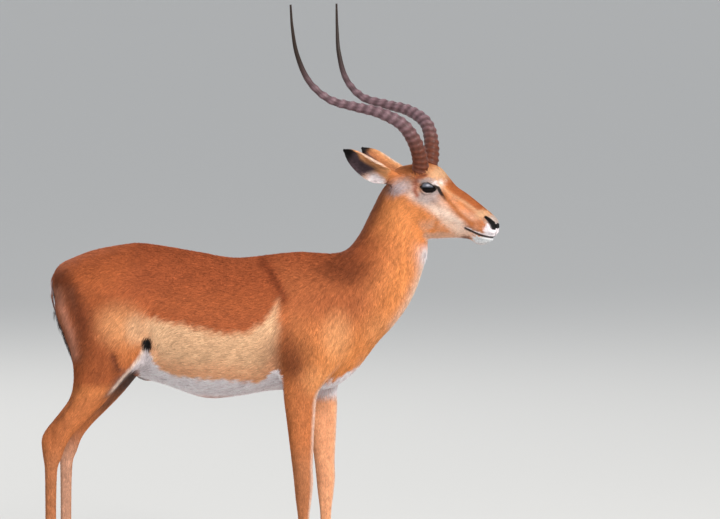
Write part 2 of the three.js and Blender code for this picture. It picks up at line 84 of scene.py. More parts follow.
TRUNK_AND_NECK = [
    row(-546, 812, -545, 770, 30),
    row(-530, 839, -537, 728, 70, 0, 0.5, 0.1, 0.15),
    row(-490, 859, -508, 688, 98, 0, 0.5, 0.2, 0.15),
    row(-440, 876, -445, 650, 110, 0, 0.52, 0.22, 0.15),
    row(-377, 888, -385, 600, 115, 0, 0.52, 0.25, 0.15),
    row(-327, 893, -330, 560, 117, 0, 0.5, 0.3, 0.15),
    row(-257, 884, -262, 535, 124, 0, 0.46, 0.38, 0.12),
    row(-177, 870, -180, 511, 134, 0, 0.44, 0.42, 0.12),
    row(-87, 856, -90, 509, 137, 0, 0.44, 0.45, 0.15),
    row(13, 866, 0, 522, 130, 0, 0.44, 0.5, 0.22),
    row(73, 871, 75, 524, 120, 0, 0.42, 0.52, 0.3),
    row(125, 868, 150, 528, 110, 0, 0.42, 0.52, 0.35),
    row(160, 868, 208, 566, 100, 0, 0.42, 0.5, 0.35),
    row(186, 876, 262, 634, 88, 0, 0.44, 0.45, 0.3, 1),
    row(207, 896, 310, 684, 80, 1, 0.46, 0.38, 0.25, 3),
    row(226, 925, 349, 740, 73, 1, 0.48, 0.3, 0.2, 6),
    row(242, 957, 373, 802, 67, 0, 0.5, 0.25, 0.15, 10),
    row(259, 991, 387, 856, 62, -3, 0.5, 0.22, 0.15, 15),
    row(279, 1028, 392, 900, 60, -6, 0.5, 0.2, 0.15, 19),
    row(305, 1058, 392, 935, 54, -7, 0.5, 0.2, 0.15, 20),
]

HEAD = [
    row(300, 1066, 334, 950, 40, 0, 0.6),
    row(318, 1084, 354, 915, 54, 0, 0.62, 0.25, 0.25),
    row(350, 1091, 382, 901, 57, 0, 0.62, 0.2, 0.35),
    row(385, 1094, 405, 901, 59, 0, 0.64, 0.2, 0.45),
    row(418, 1086, 427, 903, 60, 0, 0.66, 0.25, 0.5),
    row(440, 1063, 443, 904, 53, 0, 0.66, 0.3, 0.5),
    row(462, 1038, 460, 905, 43, 0, 0.62, 0.3, 0.45),
    row(487, 1021, 479, 905, 36, 0, 0.58, 0.3, 0.4),
    row(510, 1003, 496, 903, 31, 0, 0.56, 0.28, 0.35),
    row(531, 986, 511, 897, 28, 0, 0.55, 0.25, 0.3),
    row(548, 972, 528, 894, 26, 0, 0.56, 0.2, 0.3),
    row(561, 958, 543, 901, 23, 0, 0.58, 0.2, 0.25),
    row(567, 940, 557, 913, 14, 0, 0.6),
]

FORELEG = [
    row(146, 806, 74, 806, 10, 36, yaw=10),
    row(186, 742, 50, 742, 30, 66, yaw=14),
    row(210, 668, 30, 664, 40, 76, yaw=18),
    row(190, 608, 20, 604, 41, 77, yaw=16),
    row(150, 562, 24, 560, 38, 76, yaw=8),
    row(120, 522, 30, 522, 32, 75),
    row(112, 468, 37, 468, 27, 74),
    row(106, 345, 52, 345, 21.5, 74),
    row(107, 300, 57, 300, 22.5, 74),
    row(103, 258, 61, 258, 18.5, 74),
    row(97, 205, 67, 205, 13.5, 74),
    row(97, 145, 67, 145, 13.5, 74),
    row(103, 108, 62, 104, 17, 74),
    row(113, 80, 77, 64, 15.5, 74),
    row(122, 53, 92, 37, 18.5, 74),
    row(128, 36, 98, 14, 19, 74),
]

HINDLEG = [
    row(-340, 812, -515, 796, 20, 44, full=0.8),
    row(-306, 730, -538, 736, 46, 62, full=0.72),
    row(-297, 652, -517, 672, 53, 67, full=0.72),
    row(-322, 594, -496, 608, 50, 71, full=0.75),
    row(-366, 548, -492, 556, 42, 75, full=0.85),
    row(-404, 507, -501, 510, 33, 78),
    row(-444, 466, -531, 468, 26, 80),
    row(-480, 430, -560, 432, 21.5, 81),
    row(-505, 398, -571, 406, 20, 81),
    row(-519, 362, -568, 368, 18.5, 81),
    row(-531, 318, -563, 322, 14, 81),
    row(-533, 155, -563, 155, 13, 81),
    row(-526, 113, -566, 109, 16.5, 81),
    row(-514, 84, -550, 68, 15, 81),
    row(-505, 55, -536, 38, 18, 81),
    row(-499, 38, -530, 14, 18.5, 81),
]

TAIL = [
    row(-520, 815, -520, 775, 9),
    row(-543, 811, -541, 780, 11),
    row(-548, 800, -540, 774, 12),
    row(-549, 776, -539.5, 763, 12),
    row(-546, 744, -535.5, 741, 11),
    row(-534, 710, -521, 706, 10),
    row(-521, 666, -509, 663, 9),
    row(-504, 622, -492, 619, 8),
    row(-489, 576, -479, 573, 5),
    row(-482, 540, -478, 538, 2),
]

STEPS = {"fore": 54, "hind": 28}  # how far the left feet stand ahead of the right ones
FOOT_SIDE = {"fore": 74, "hind": 81}  # how far the feet stand from the midline
HINGES = {"fore": (470, 700), "hind": (500, 760)}  # heights between which a left leg bends ahead

HORN_LINE = [
    (48, 24, 1055),
    (54, 42, 1106),
    (45, 66, 1154),
    (22, 88, 1193),
    (-30, 106, 1221),
    (-91, 113, 1235),
    (-157, 120, 1253),
    (-204, 133, 1295),
    (-231, 149, 1362),
    (-240, 160, 1430),
    (-243, 164, 1488),
]
EAR_LINE = [(2, 46, 1052), (-62, 60, 1079), (-139, 66, 1127)]
LEFT_EAR_DROP = 9
EAR_HALF_WIDTH = 31
EAR_CUP = 0.72
EAR_OPENS = (0.1, 0.86, -0.5)

# ---------------------------------------------------------------- small helpers


def smoothstep(low, high, x):
    t = np.clip((np.asarray(x, float) - low) / (high - low), 0, 1)
    return t * t * (3 - 2 * t)


def unit(v):
    v = np.asarray(v, float)
    return v / np.maximum(np.linalg.norm(v, axis=-1, keepdims=True), 1e-12)


def placed(points):
    """Millimetres in the animal's frame to metres in the shared frame."""
    return np.asarray(points, float) * MM + (0, MIDLINE, 0)


def turn_to_body(vectors):
    """Directions in the head's frame to directions in the animal's."""
    x, y = vectors[..., 0], vectors[..., 1]
    return np.stack([x * COS_YAW + y * SIN_YAW, -x * SIN_YAW + y * COS_YAW, vectors[..., 2]], -1)


def turn_to_head(vectors):
    x, y = vectors[..., 0], vectors[..., 1]
    return np.stack([x * COS_YAW - y * SIN_YAW, x * SIN_YAW + y * COS_YAW, vectors[..., 2]], -1)


def from_head(points):
    return turn_to_body(np.asarray(points, float)) + (*HEAD_PIVOT, 0)


def to_head(points):
    """(ahead, side, up) in the head's own frame."""
    return turn_to_head(points - (*HEAD_PIVOT, 0))


def mirrored_head(points):
    """The same with the side always positive, as if both halves of the head were the left one."""
    head = to_head(points)
    head[:, 1] = np.abs(head[:, 1])
    return head


def limb_step(z, end):
    low, high = HINGES[end]
    return STEPS[end] * (1 - smoothstep(low, high, z))


def squared(points):
    """The points as if both sides were the right one: |y|, and the left feet drawn back in line."""
    x, y, z = points.T
    step = limb_step(z, "fore") * smoothstep(-60, 10, x) + limb_step(z, "hind") * smoothstep(-240, -320, x)
    return np.stack([np.where(y > 0, x - step, x), np.abs(y), z], 1)


def along_line(points, line):
    """For each point its distance to a polyline and the share of the line's length where it is nearest."""
    line = np.asarray(line, float)
    lengths = np.linalg.norm(np.diff(line, axis=0), axis=1)
    starts = np.concatenate([[0], np.cumsum(lengths)])
    best = np.full(len(points), np.inf)
    share = np.zeros(len(points))
    for i, length in enumerate(lengths):
        leg = line[i + 1] - line[i]
        t = np.clip((points - line[i]) @ leg / length**2, 0, 1)
        gap = np.linalg.norm(points - line[i] - t[:, None] * leg, axis=1)
        nearer = gap < best
        best[nearer] = gap[nearer]
        share[nearer] = (starts[i] + t[nearer] * length) / starts[-1]
    return best, share


def hermite(start, leave, arrive, rise, t):
    """The smooth step from start to start + rise that leaves and arrives with these slopes."""
    bend = 3 * rise - 2 * leave - arrive + t * (leave + arrive - 2 * rise)
    return start + t * (leave + t * bend)


def cubic(values, steps):
    """A smooth run through rows of values, with `steps` new rows to each span."""
    values = np.asarray(values, float)
    padded = np.concatenate([values[:1], values, values[-1:]])
    made = [values[:1]]
    t = (np.arange(1, steps + 1) / steps)[:, None]
    for i in range(len(values) - 1):
        before, start, end, after = padded[i : i + 4]
        made.append(hermite(start, (end - before) / 2, (after - start) / 2, end - start, t))
    return np.concatenate(made)


def centripetal(points, count):
    """Evenly spaced points on the same curve through these points that the solids use."""
    points = np.asarray(points, float)
    ends = [2 * points[0] - points[1], *points, 2 * points[-1] - points[-2]]
    dense = [points[:1]]
    for p0, p1, p2, p3 in zip(ends, ends[1:], ends[2:], ends[3:]):
        d0, d1, d2 = (np.linalg.norm(b - a) ** 0.5 for a, b in ((p0, p1), (p1, p2), (p2, p3)))
        leave = ((p1 - p0) / d0 - (p2 - p0) / (d0 + d1) + (p2 - p1) / d1) * d1
        arrive = ((p2 - p1) / d1 - (p3 - p1) / (d1 + d2) + (p3 - p2) / d2) * d1
        t = (np.arange(1, 41) / 40)[:, None]
        dense.append(hermite(p1, leave, arrive, p2 - p1, t))
    dense = np.concatenate(dense)
    run = np.concatenate([[0], np.cumsum(np.linalg.norm(np.diff(dense, axis=0), axis=1))])
    even = np.linspace(0, run[-1], count)
    return np.stack([np.interp(even, run, dense[:, k]) for k in range(3)], 1)


def tube(rings):
    """A closed skin over rings (n, sides, 3), with a fan over each end: (points, faces)."""
    count, sides = rings.shape[:2]
    points = np.concatenate([rings.reshape(-1, 3), rings[0].mean(0)[None], rings[-1].mean(0)[None]])
    i = np.arange(sides)
    j = (i + 1) % sides
    quads = []
    for r in range(count - 1):
        a, b = r * sides, (r + 1) * sides
        quads.append(np.stack([a + i, b + i, b + j, a + j], 1))
    start, end, last = count * sides, count * sides + 1, (count - 1) * sides
    fans = np.concatenate(
        [
            np.stack([np.full(sides, start), i, j], 1),
            np.stack([np.full(sides, end), last + j, last + i], 1),
        ]
    )
    quads = np.concatenate(quads)
    corners = points[quads]
    middle = points.mean(0)
    normal = np.cross(corners[:, 2] - corners[:, 0], corners[:, 3] - corners[:, 1])
    if np.einsum("ij,ij->i", normal, corners.mean(1) - middle).sum() < 0:
        quads, fans = quads[:, ::-1], fans[:, ::-1]
    return points, quads.tolist() + fans.tolist()


# Steps from one cross section to the next, and sides round each.
GRIDS = {"trunk": (8, 96), "head": (8, 72), "limb": (6, 48), "tail": (6, 32)}


def loft(rows, part):
    """A tube through cross sections, as the solids make it but smooth."""
    steps, sides = GRIDS[part]
    s = cubic(rows, steps)
    ax, az, bx, bz, wide, side, level, slim_a, slim_b, yaw, full = (c[:, None] for c in s.T)
    angle = 2 * np.pi * (np.arange(sides) + 0.5)[None] / sides
    up, out = np.sin(angle), np.cos(angle)
    middle_x, middle_z = bx + (ax - bx) * level, bz + (az - bz) * level
    end_x, end_z = np.where(up > 0, ax, bx), np.where(up > 0, az, bz)
    slim = 1 - np.where(up > 0, slim_a, slim_b) * up * up
    lateral = wide * slim * np.sign(out) * np.abs(out) ** full
    ahead = (end_x - middle_x) * np.abs(up)
    turn = np.radians(yaw)
    x = middle_x + ahead + lateral * np.sin(turn)
    y = side - ahead * np.tan(turn) + lateral * np.cos(turn)
    z = middle_z + (end_z - middle_z) * np.abs(up)
    return tube(np.stack([x, y, z], 2))


def added(name, data):
    """A new object with these data, in the scene."""
    made = bpy.data.objects.new(name, data)
    bpy.context.scene.collection.objects.link(made)
    return made


def mesh_object(name, points, faces):
    mesh = bpy.data.meshes.new(name)
    mesh.from_pydata(placed(points).tolist(), [], faces)
    mesh.update()
    return added(name, mesh)


def joined(parts):
    """Several (points, faces) as one."""
    points, faces, base = [], [], 0
    for p, f in parts:
        points.append(p)
        faces += [[k + base for k in face] for face in f]
        base += len(p)
    return np.concatenate(points), faces


def applied(ob):
    """The object with its modifiers applied."""
    graph = bpy.context.evaluated_depsgraph_get()
    mesh = bpy.data.meshes.new_from_object(ob.evaluated_get(graph))
    ob.modifiers.clear()
    ob.data = mesh
    return ob


def read(items, name, width, kind=np.float32):
    """One value of each of a mesh's items, as rows."""
    out = np.empty(len(items) * width, kind)
    items.foreach_get(name, out)
    return out.reshape(-1, width)


def write(items, name, values, kind=np.float32):
    items.foreach_set(name, np.asarray(values).astype(kind).ravel())


def points_of(mesh):
    """Vertices in millimetres in the animal's frame."""
    return (read(mesh.vertices, "co", 3).astype(float) - (0, MIDLINE, 0)) / MM


def set_points(mesh, points):
    write(mesh.vertices, "co", placed(points))
    mesh.update()


def normals_of(mesh):
    return read(mesh.vertex_normals, "vector", 3).astype(float)


def edges_of(mesh):
    return read(mesh.edges, "vertices", 2, np.int32)


def smooth_faces(ob):
    write(ob.data.polygons, "use_smooth", np.ones(len(ob.data.polygons)), bool)


def store_colour(mesh, colour):
    layer = mesh.color_attributes.new("coat", "FLOAT_COLOR", "POINT")
    write(layer.data, "color", np.insert(np.clip(colour, 0, 1), 3, 1, axis=1))


EVEN_OUT, PUSH_BACK = 0.5, -0.53  # how strongly a round draws points together or apart
ROUNDS = {"body": 10, "junctions": 70, "head": 12, "finest head": 8}


def smoothed(points, edges, weight, rounds, keep_size=True):
    """Evens the points out. With keep_size every other round pushes back, so thin parts keep their girth."""
    a, b = edges.T
    count = len(points)
    degree = np.maximum(np.bincount(a, minlength=count) + np.bincount(b, minlength=count), 1)
    points = points.copy()
    for i in range(rounds):
        strength = PUSH_BACK if keep_size and i % 2 else EVEN_OUT
        for k in range(3):
            column = points[:, k]
            total = np.bincount(a, column[b], count) + np.bincount(b, column[a], count)
            points[:, k] = column + strength * weight * (total / degree - column)
    return points


# ---------------------------------------------------------------- the skin's forms


def leaf_share(t):
    return np.minimum(1, 0.5 + 1.45 * t) * (1 - t**5.5)


def ear_line(hand):
    root, middle, tip = EAR_LINE
    drop = LEFT_EAR_DROP if hand > 0 else 0
    return np.array([root, (middle[0], middle[1], middle[2] - drop), tip]) * (1, hand, 1)


def ear_frame(hand, count):
    """Points along the ear with the directions along it, out of its cup and across it."""
    line = centripetal(ear_line(hand), count)
    along = unit(np.gradient(line, axis=0))
    opens = unit(np.array(EAR_OPENS) * (1, hand, 1))
    out = unit(opens - (along @ opens)[:, None] * along)
    return line, along, out, np.cross(along, out)


EAR_ROWS = 24  # steps in which colours and hair follow the ear's bend


def ear_rows(hand, share):
    """The rows of the ear's frame at shares of its length."""
    at = np.minimum((share * (EAR_ROWS - 1)).astype(int), EAR_ROWS - 1)
    return [column[at] for column in ear_frame(hand, EAR_ROWS)]


EAR_GRID = (56, 36)
EAR_SKIN_THICKNESS = 4.2
EAR_ROOT_SUNK = 14  # how far the root is drawn into the head
EAR_FOLDS = {"count": 7, "height": 0.7}


def ear_form(hand):
    line, _, out, across = ear_frame(hand, EAR_GRID[0])
    t = np.linspace(0, 1, EAR_GRID[0])[:, None]
    line = line - (0, EAR_ROOT_SUNK * hand, 0) * (1 - smoothstep(0, 0.24, t))
    half = np.maximum(2.6, (EAR_HALF_WIDTH - 0.8) * leaf_share(t))
    cup = half * EAR_CUP * (1 - 0.35 * t)
    thick = np.minimum(EAR_SKIN_THICKNESS, half) * (1 - 0.45 * t)
    opened = smoothstep(0.05, 0.4, t)
    angle = np.linspace(-np.pi / 2, np.pi / 2, EAR_GRID[1])[None]
    depth = cup * (0.5 - np.cos(angle))
    hollow = (1 - opened) * half * 0.6 * np.cos(angle) + opened * (depth + thick)
    waves = np.cos(angle * EAR_FOLDS["count"]) * np.cos(angle)
    folds = EAR_FOLDS["height"] * opened * np.sin(np.pi * t) * waves

    def sheet(aside, raised):
        return line[:, None] + across[:, None] * aside[..., None] + out[:, None] * raised[..., None]

    back = sheet(half * np.sin(angle), depth)
    front = sheet((half - thick * 0.4) * np.sin(angle), hollow + folds)
    points, faces = tube(np.concatenate([back, front[:, ::-1]], 1))
    return from_head(points), faces


def head_form():
    rows = []
    for r in HEAD:
        side = HEAD_PIVOT[1] - ((r[0] + r[2]) / 2 - HEAD_PIVOT[0]) * math.tan(HEAD_YAW)
        rows.append(r[:5] + (side,) + r[6:9] + (math.degrees(HEAD_YAW), 1))
    return loft(rows, "head")


LIMBS = {"fore": FORELEG, "hind": HINDLEG}
FEET = [(end, hand) for end in LIMBS for hand in HANDS.values()]


def limb_form(end, hand):
    moved = []
    for r in LIMBS[end]:
        ax, az, bx, bz, wide, side, level, slim_a, slim_b, yaw, full = r
        step_a, step_b = (limb_step(z, end) if hand > 0 else 0 for z in (az, bz))
        outline = (ax + step_a, az, bx + step_b, bz)
        moved.append((*outline, wide, hand * side, level, slim_a, slim_b, hand * yaw, full))
    return loft(moved, "limb")


BODY_VOXEL = 0.0036


def near(points, centre, radii):
    """1 at the centre, falling smoothly to about a third at the radii."""
    return np.exp(-(((points - np.array(centre)) / np.array(radii)) ** 2).sum(1))


def coat_depth(points):
    """How far the skin lies inside the outline of the coat."""
    z = points[:, 2]
    head = to_head(points)
    on_head = smoothstep(880, 930, z) * smoothstep(-20, 40, head[:, 0])
    on_leg = 1 - smoothstep(480, 580, z)
    depth = 3.2 - 1.4 * on_leg
    return depth * (1 - on_head) + (1.6 - 0.8 * smoothstep(120, 200, head[:, 0])) * on_head


def junctions(points):
    """Where the limbs and the head grow out of the trunk, which smoothing rounds into one form."""
    p = squared(points)
    shoulder = near(p, (110, 85, 660), (95, 60, 110))
    hip = near(p, (-420, 85, 700), (110, 60, 130))
    groin = near(p, (-380, 60, 590), (60, 50, 40))
    nape = near(p, (345, 30, 960), (45, 90, 75))
    return np.clip(1.3 * (shoulder + hip + groin + nape), 0, 1)


CORONET = {"heel": 24, "slope": 0.34}
HEELS = {"fore": 96, "hind": -532}


def coronet_height(points):
    """How far points lie above the plane where flesh meets horn, for the feet they belong to."""
    x, _, z = squared(points).T
    heel = np.where(x > -150, HEELS["fore"], HEELS["hind"])
    return (z - CORONET["heel"] - CORONET["slope"] * (x - heel)) / math.hypot(1, CORONET["slope"])


def united(ob, form, name):
    """The object with a closed form added to it as one skin."""
    other = mesh_object(name, *form)
    joiner = ob.modifiers.new("union", "BOOLEAN")
    joiner.operation = "UNION"
    joiner.solver = "MANIFOLD"
    joiner.object = other
    applied(ob)
    bpy.data.objects.remove(other)


def refined(mesh, wanted):
    """Splits once each edge of the faces whose corners are all wanted."""
    keep = wanted(points_of(mesh)) > 0.5
    bm = bmesh.new()
    bm.from_mesh(mesh)
    bm.verts.ensure_lookup_table()
    faces = [f for f in bm.faces if all(keep[v.index] for v in f.verts)]
    edges = list({e for f in faces for e in f.edges})
    bmesh.ops.subdivide_edges(bm, edges=edges, cuts=1, use_grid_fill=True)
    bm.to_mesh(mesh)
    bm.free()
    mesh.update()


def skin_body():
    forms = [loft(TRUNK_AND_NECK, "trunk"), head_form()] + [limb_form(*foot) for foot in FEET]
    skin = mesh_object("skin", *joined(forms))
    voxels = skin.modifiers.new("voxels", "REMESH")
    voxels.mode = "VOXEL"
    voxels.voxel_size = BODY_VOXEL
    applied(skin)
    mesh = skin.data
    points = smoothed(points_of(mesh), edges_of(mesh), 1, ROUNDS["body"])
    points = smoothed(points, edges_of(mesh), junctions(points), ROUNDS["junctions"], keep_size=False)
    set_points(mesh, points)
    points = points - normals_of(mesh) * coat_depth(points)[:, None]
    low = coronet_height(points)
    points[:, 2] += np.where((points[:, 2] < 90) & (low < 0.4), 0.4 - low, 0)
    set_points(mesh, points)
    for side, hand in HANDS.items():
        united(skin, ear_form(hand), "ear_form_" + side)
    united(skin, loft(TAIL, "tail"), "tail_form")
    return skin


skin = skin_body()

# ---------------------------------------------------------------- sculpting

# Strokes raise (or, below zero, sink) the skin along a line of points: (points, reach, height).
# Those on the body are drawn in side view as (X, Z) of the right side, and appear on both sides.
BODY_STROKES = [
    ([(-14, 846), (6, 822), (24, 792), (36, 764)], 12, -3.0),  # behind the shoulder blade
    ([(36, 764), (18, 715), (3, 683), (-8, 640), (0, 600)], 12, -3.2),  # behind the upper arm
    ([(150, 850), (185, 790), (205, 730), (200, 690)], 15, -2.5),  # before the shoulder
    ([(60, 850), (95, 790), (120, 720)], 13, 1.8),  # spine of the shoulder blade
    ([(68, 675)], 36, 3.0),  # triceps
    ([(178, 655)], 26, 3.5),  # point of the shoulder
    ([(30, 575)], 15, 3.0),  # elbow
    ([(90, 545), (86, 470), (80, 400)], 6, -1.5),  # forearm
    ([(350, 900), (340, 850), (318, 790), (285, 730), (250, 680)], 13, -3.5),  # jugular furrow
    ([(300, 1000), (270, 930), (235, 860), (195, 800)], 15, -2.0),  # crest of the neck
    ([(-268, 795)], 38, -4.0),  # hollow of the flank
    ([(-325, 845)], 20, 3.5),  # hip bone
    ([(-235, 800), (-262, 740), (-290, 690)], 15, -1.5),
    ([(-292, 730), (-300, 690), (-306, 655), (-318, 615)], 9, -5.0),  # fold of the flank
    ([(-365, 690)], 42, 3.0),  # front of the thigh
    ([(-372, 600)], 20, 3.0),  # stifle
    ([(-387, 624), (-381, 606), (-374, 588)], 7, -3.0),  # crease behind the stifle
    ([(-500, 795), (-485, 710), (-470, 640), (-478, 590)], 15, -2.2),  # between the hams
    ([(-440, 850), (-452, 780), (-435, 700)], 14, -1.5),
    ([(-478, 540), (-505, 495), (-535, 455)], 6.5, -3.5),  # before the hock's tendon
    ([(-440, 525)], 22, 2.0),
    ([(-541, 435), (-546, 400)], 5, -1.8),
    ([(-527, 405)], 9, 1.5),
    ([(-549, 345), (-549, 165)], 3.4, -1.4),  # between cannon bone and tendons
    ([(-546, 113)], 10, 1.5),
    ([(85, 302)], 14, 1.6),  # knee
    ([(76, 250), (78, 150)], 3.4, -1.3),
    ([(83, 106)], 10, 1.5),
]

# Those on the head are drawn in its own frame as (ahead, side, up), for both sides.
HEAD_STROKES = [
    ([(50, 54, 1064), (74, 58, 1064), (98, 52, 1055)], 9, 3.0),  # brow
    ([(64, 60, 1004), (35, 57, 1008), (8, 54, 1018)], 9, 2.0),  # cheek bone
    ([(98, 52, 1006), (130, 42, 988), (160, 34, 972)], 8, 2.0),  # crest of the face
    ([(114, 42, 1022), (142, 34, 1000)], 10, -2.2),  # before the eye
    ([(112, 28, 1052), (150, 22, 1018), (190, 18, 988)], 7, 1.2),  # edge of the bridge
    ([(60, 52, 958)], 30, 3.5),  # jaw muscle
    ([(104, 44, 985), (95, 44, 950), (84, 42, 922)], 8, -2.0),
    ([(60, 38, 912), (110, 32, 912), (160, 26, 906)], 9, 1.2),  # jaw bone
    ([(36, 56, 1042)], 13, -3.0),  # temple
    ([(122, 38, 945), (160, 30, 938)], 11, -1.5),
    ([(182, 25, 940), (210, 24, 931), (238, 20, 923)], 6, 1.6),  # upper lip
    ([(200, 20, 911), (225, 16, 905), (240, 0, 904)], 6, 1.2),  # lower lip
    ([(192, 0, 900), (226, 0, 900)], 14, 4.5),  # chin
    ([(246, 0, 950), (246, 0, 926)], 1.8, -1.6),  # between the nostrils
]

# The slits of the nostril and the mouth in the head's own side view: ahead and up.
NOSTRIL = np.array([(218, 961), (227, 954), (235, 946), (240, 938)])
NOSTRIL_REACH, NOSTRIL_DEPTH = 4.8, 7.5
NOSTRIL_RIM = 1.4
MOUTH = np.array([(166, 934), (173, 931), (187, 925), (201, 919), (214, 915), (228, 912), (270, 911)])
MOUTH_REACH, MOUTH_DEPTH = 2.0, 3.8
SPINE_RIDGE = 1.6


def snapped(line, points):
    """The line's points, each moved onto the nearest of the points of a skin."""
    return np.array([points[np.argmin(((points - p) ** 2).sum(1))] for p in np.asarray(line, float)])


def strokes_height(points, strokes, snap=False):
    height = np.zeros(len(points))
    for line, reach, rise in strokes:
        line = snapped(line, points) if snap else np.asarray(line, float)
        near_line = np.all((points > line.min(0) - 3 * reach) & (points < line.max(0) + 3 * reach), axis=1)
        where = np.flatnonzero(near_line)
        if len(line) == 1:
            gap = np.linalg.norm(points[where] - line[0], axis=1)
        else:
            gap = along_line(points[where], line)[0]
        height[where] += rise * np.exp(-((gap / reach) ** 2))
    return height


def body_relief(points, normals):
    p = squared(points)
    outwards = np.abs(normals[:, 1])
    side_on = smoothstep(0.12, 0.5, outwards)
    off_head = 1 - smoothstep(950, 1010, p[:, 2]) * smoothstep(-40, 0, to_head(points)[:, 0])
    height = strokes_height(p[:, [0, 2]], BODY_STROKES) * side_on * off_head
    x, y, z = p.T
    top = smoothstep(0.6, 0.9, normals[:, 2]) * smoothstep(-500, -440, x) * (1 - smoothstep(150, 200, x))
    height += SPINE_RIDGE * top * (np.exp(-((y / 9) ** 2)) - 0.7 * np.exp(-(((y - 26) / 12) ** 2)))
    front = smoothstep(240, 300, x) * (1 - smoothstep(720, 800, z)) * smoothstep(0.2, 0.6, normals[:, 0])
    height -= 4.0 * front * np.exp(-((y / 10) ** 2))  # between the muscles of the breast
    belly = smoothstep(0.3, 0.8, -normals[:, 2])
    height += 6 * belly * near(p, (-150, 0, 510), (52, 13, 60))  # sheath
    height += 9 * belly * near(p, (-345, 0, 560), (24, 22, 60))  # scrotum
    return height


EYE_OPENING = (18.5, 12.0)
EYE_TILT = math.radians(-11)
LID_THICKNESS = 1.9
SOCKET_REACH = 15


def eye_view(head, hand):
    """Places round one eye: along its slit, across it, and the distance from the eyeball's centre."""
    offset = head - EYE_CENTRE * (1, hand, 1)
    cos, sin = math.cos(EYE_TILT), math.sin(EYE_TILT)
    along = offset[:, 0] * cos + offset[:, 2] * sin
    across = -offset[:, 0] * sin + offset[:, 2] * cos
    return along, across, offset


def eye_share(head, hand):
    """1 on the edge of the lids, less inside the opening. Only meant for the outer side of the head."""
    along, across, _ = eye_view(head, hand)
    wide, high = EYE_OPENING
    high = np.where(across > 0, high * 0.82, high * 0.92)
    return (np.abs(along / wide) ** 1.55 + np.abs(across / high) ** 1.8) ** (1 / 1.67)


def lids(points):
    """Sinks the skin behind the eyeball inside the opening, and draws it over the ball outside it."""
    for hand in HANDS.values():
        head = to_head(points)
        _, _, offset = eye_view(head, hand)
        around = np.linalg.norm(offset, axis=1)
        where = np.flatnonzero((around < 60) & (offset[:, 1] * hand > -4))
        share, ray = eye_share(head[where], hand), offset[where] / around[where, None]
        upper = smoothstep(-2, 6, eye_view(head[where], hand)[1])
        inside = 1 - smoothstep(0.93, 1.03, share)
        ball = EYE_RADIUS + LID_THICKNESS + upper + (0.9 + upper) * np.exp(-(((share - 1.07) / 0.08) ** 2))
        closeness = 1 - smoothstep(1.0, 1.0 + SOCKET_REACH / EYE_OPENING[1], share)
        lid = around[where] + (ball - around[where]) * closeness
        crease = 2.2 * np.exp(-(((share - 1.5) / 0.11) ** 2)) * upper
        radius = (lid - crease) * (1 - inside) + (EYE_RADIUS - 4.5) * inside
        head[where] = EYE_CENTRE * (1, hand, 1) + ray * radius[:, None]
        points = from_head(head)
    return points


def fine_head(points):
    """Where the head wants a finer mesh: all of it before the nape."""
    head = to_head(points)
    return (smoothstep(-30, -10, head[:, 0]) * smoothstep(880, 900, points[:, 2])) > 0.5


def finest_head(points):
    """Round the eyes, the nostrils and the mouth."""
    head = mirrored_head(points)
    eye = np.linalg.norm((head - EYE_CENTRE) / (1, 1, 0.85), axis=1) < 36
    muzzle = (head[:, 0] > 168) & (head[:, 2] < 975)
    return eye & (head[:, 1] > 25) | muzzle


def ear_roots(points):
    return np.clip(1.8 * near(mirrored_head(points), (-6, 50, 1056), (24, 25, 25)), 0, 1)


def slit_gaps(head):
    """Distances from the nostril's slit and from the mouth's, as seen from the head's side."""
    side = head[:, [0, 2]]
    gap, share = along_line(side, NOSTRIL)
    nostril = gap / (0.72 + 0.6 * share) + 16 * smoothstep(10, 5, head[:, 1])
    mouth = along_line(side, MOUTH)[0]
    return nostril, np.where(head[:, 0] > 160, mouth, 99)


def nose_pad(head):
    """1 on the bare black skin between the nostrils and down the cleft of the lip."""
    side, up = head[:, 1], head[:, 2]
    pad = 1 - smoothstep(0.85, 1.1, np.hypot(side / 15, (up - 940) / 7.5))
    cleft = (1 - smoothstep(1.0, 2.2, side)) * smoothstep(911, 915, up) * smoothstep(944, 940, up)
    return np.maximum(pad, cleft) * smoothstep(230, 235, head[:, 0])


def muzzle_relief(head):
    """The slits of the nostrils and the mouth, cut at their full depth along the whole line."""
    nostril, mouth = slit_gaps(head)
    rim = NOSTRIL_RIM * np.exp(-(((nostril - 2.1 * NOSTRIL_REACH) / 3.2) ** 2))
    sunk = NOSTRIL_DEPTH * np.exp(-((nostril / NOSTRIL_REACH) ** 3))
    return rim - sunk - MOUTH_DEPTH * np.exp(-((mouth / MOUTH_REACH) ** 2))


def sculpt(mesh):
    refined(mesh, fine_head)
    points = points_of(mesh)
    points = smoothed(points, edges_of(mesh), ear_roots(points), ROUNDS["junctions"], keep_size=False)
    fine = fine_head(points) & (mirrored_head(points)[:, 0] > 15)
    points = smoothed(points, edges_of(mesh), fine, ROUNDS["head"])
    set_points(mesh, points)
    refined(mesh, finest_head)
    points = points_of(mesh)
    points = smoothed(points, edges_of(mesh), finest_head(points), ROUNDS["finest head"])
    set_points(mesh, points)
    normals = normals_of(mesh)
    points = points + normals * body_relief(points, normals)[:, None]
    head = mirrored_head(points)
    rise = strokes_height(head, HEAD_STROKES, snap=True) + muzzle_relief(head)
    set_points(mesh, lids(points + normals * rise[:, None]))


sculpt(skin.data)
smooth_faces(skin)
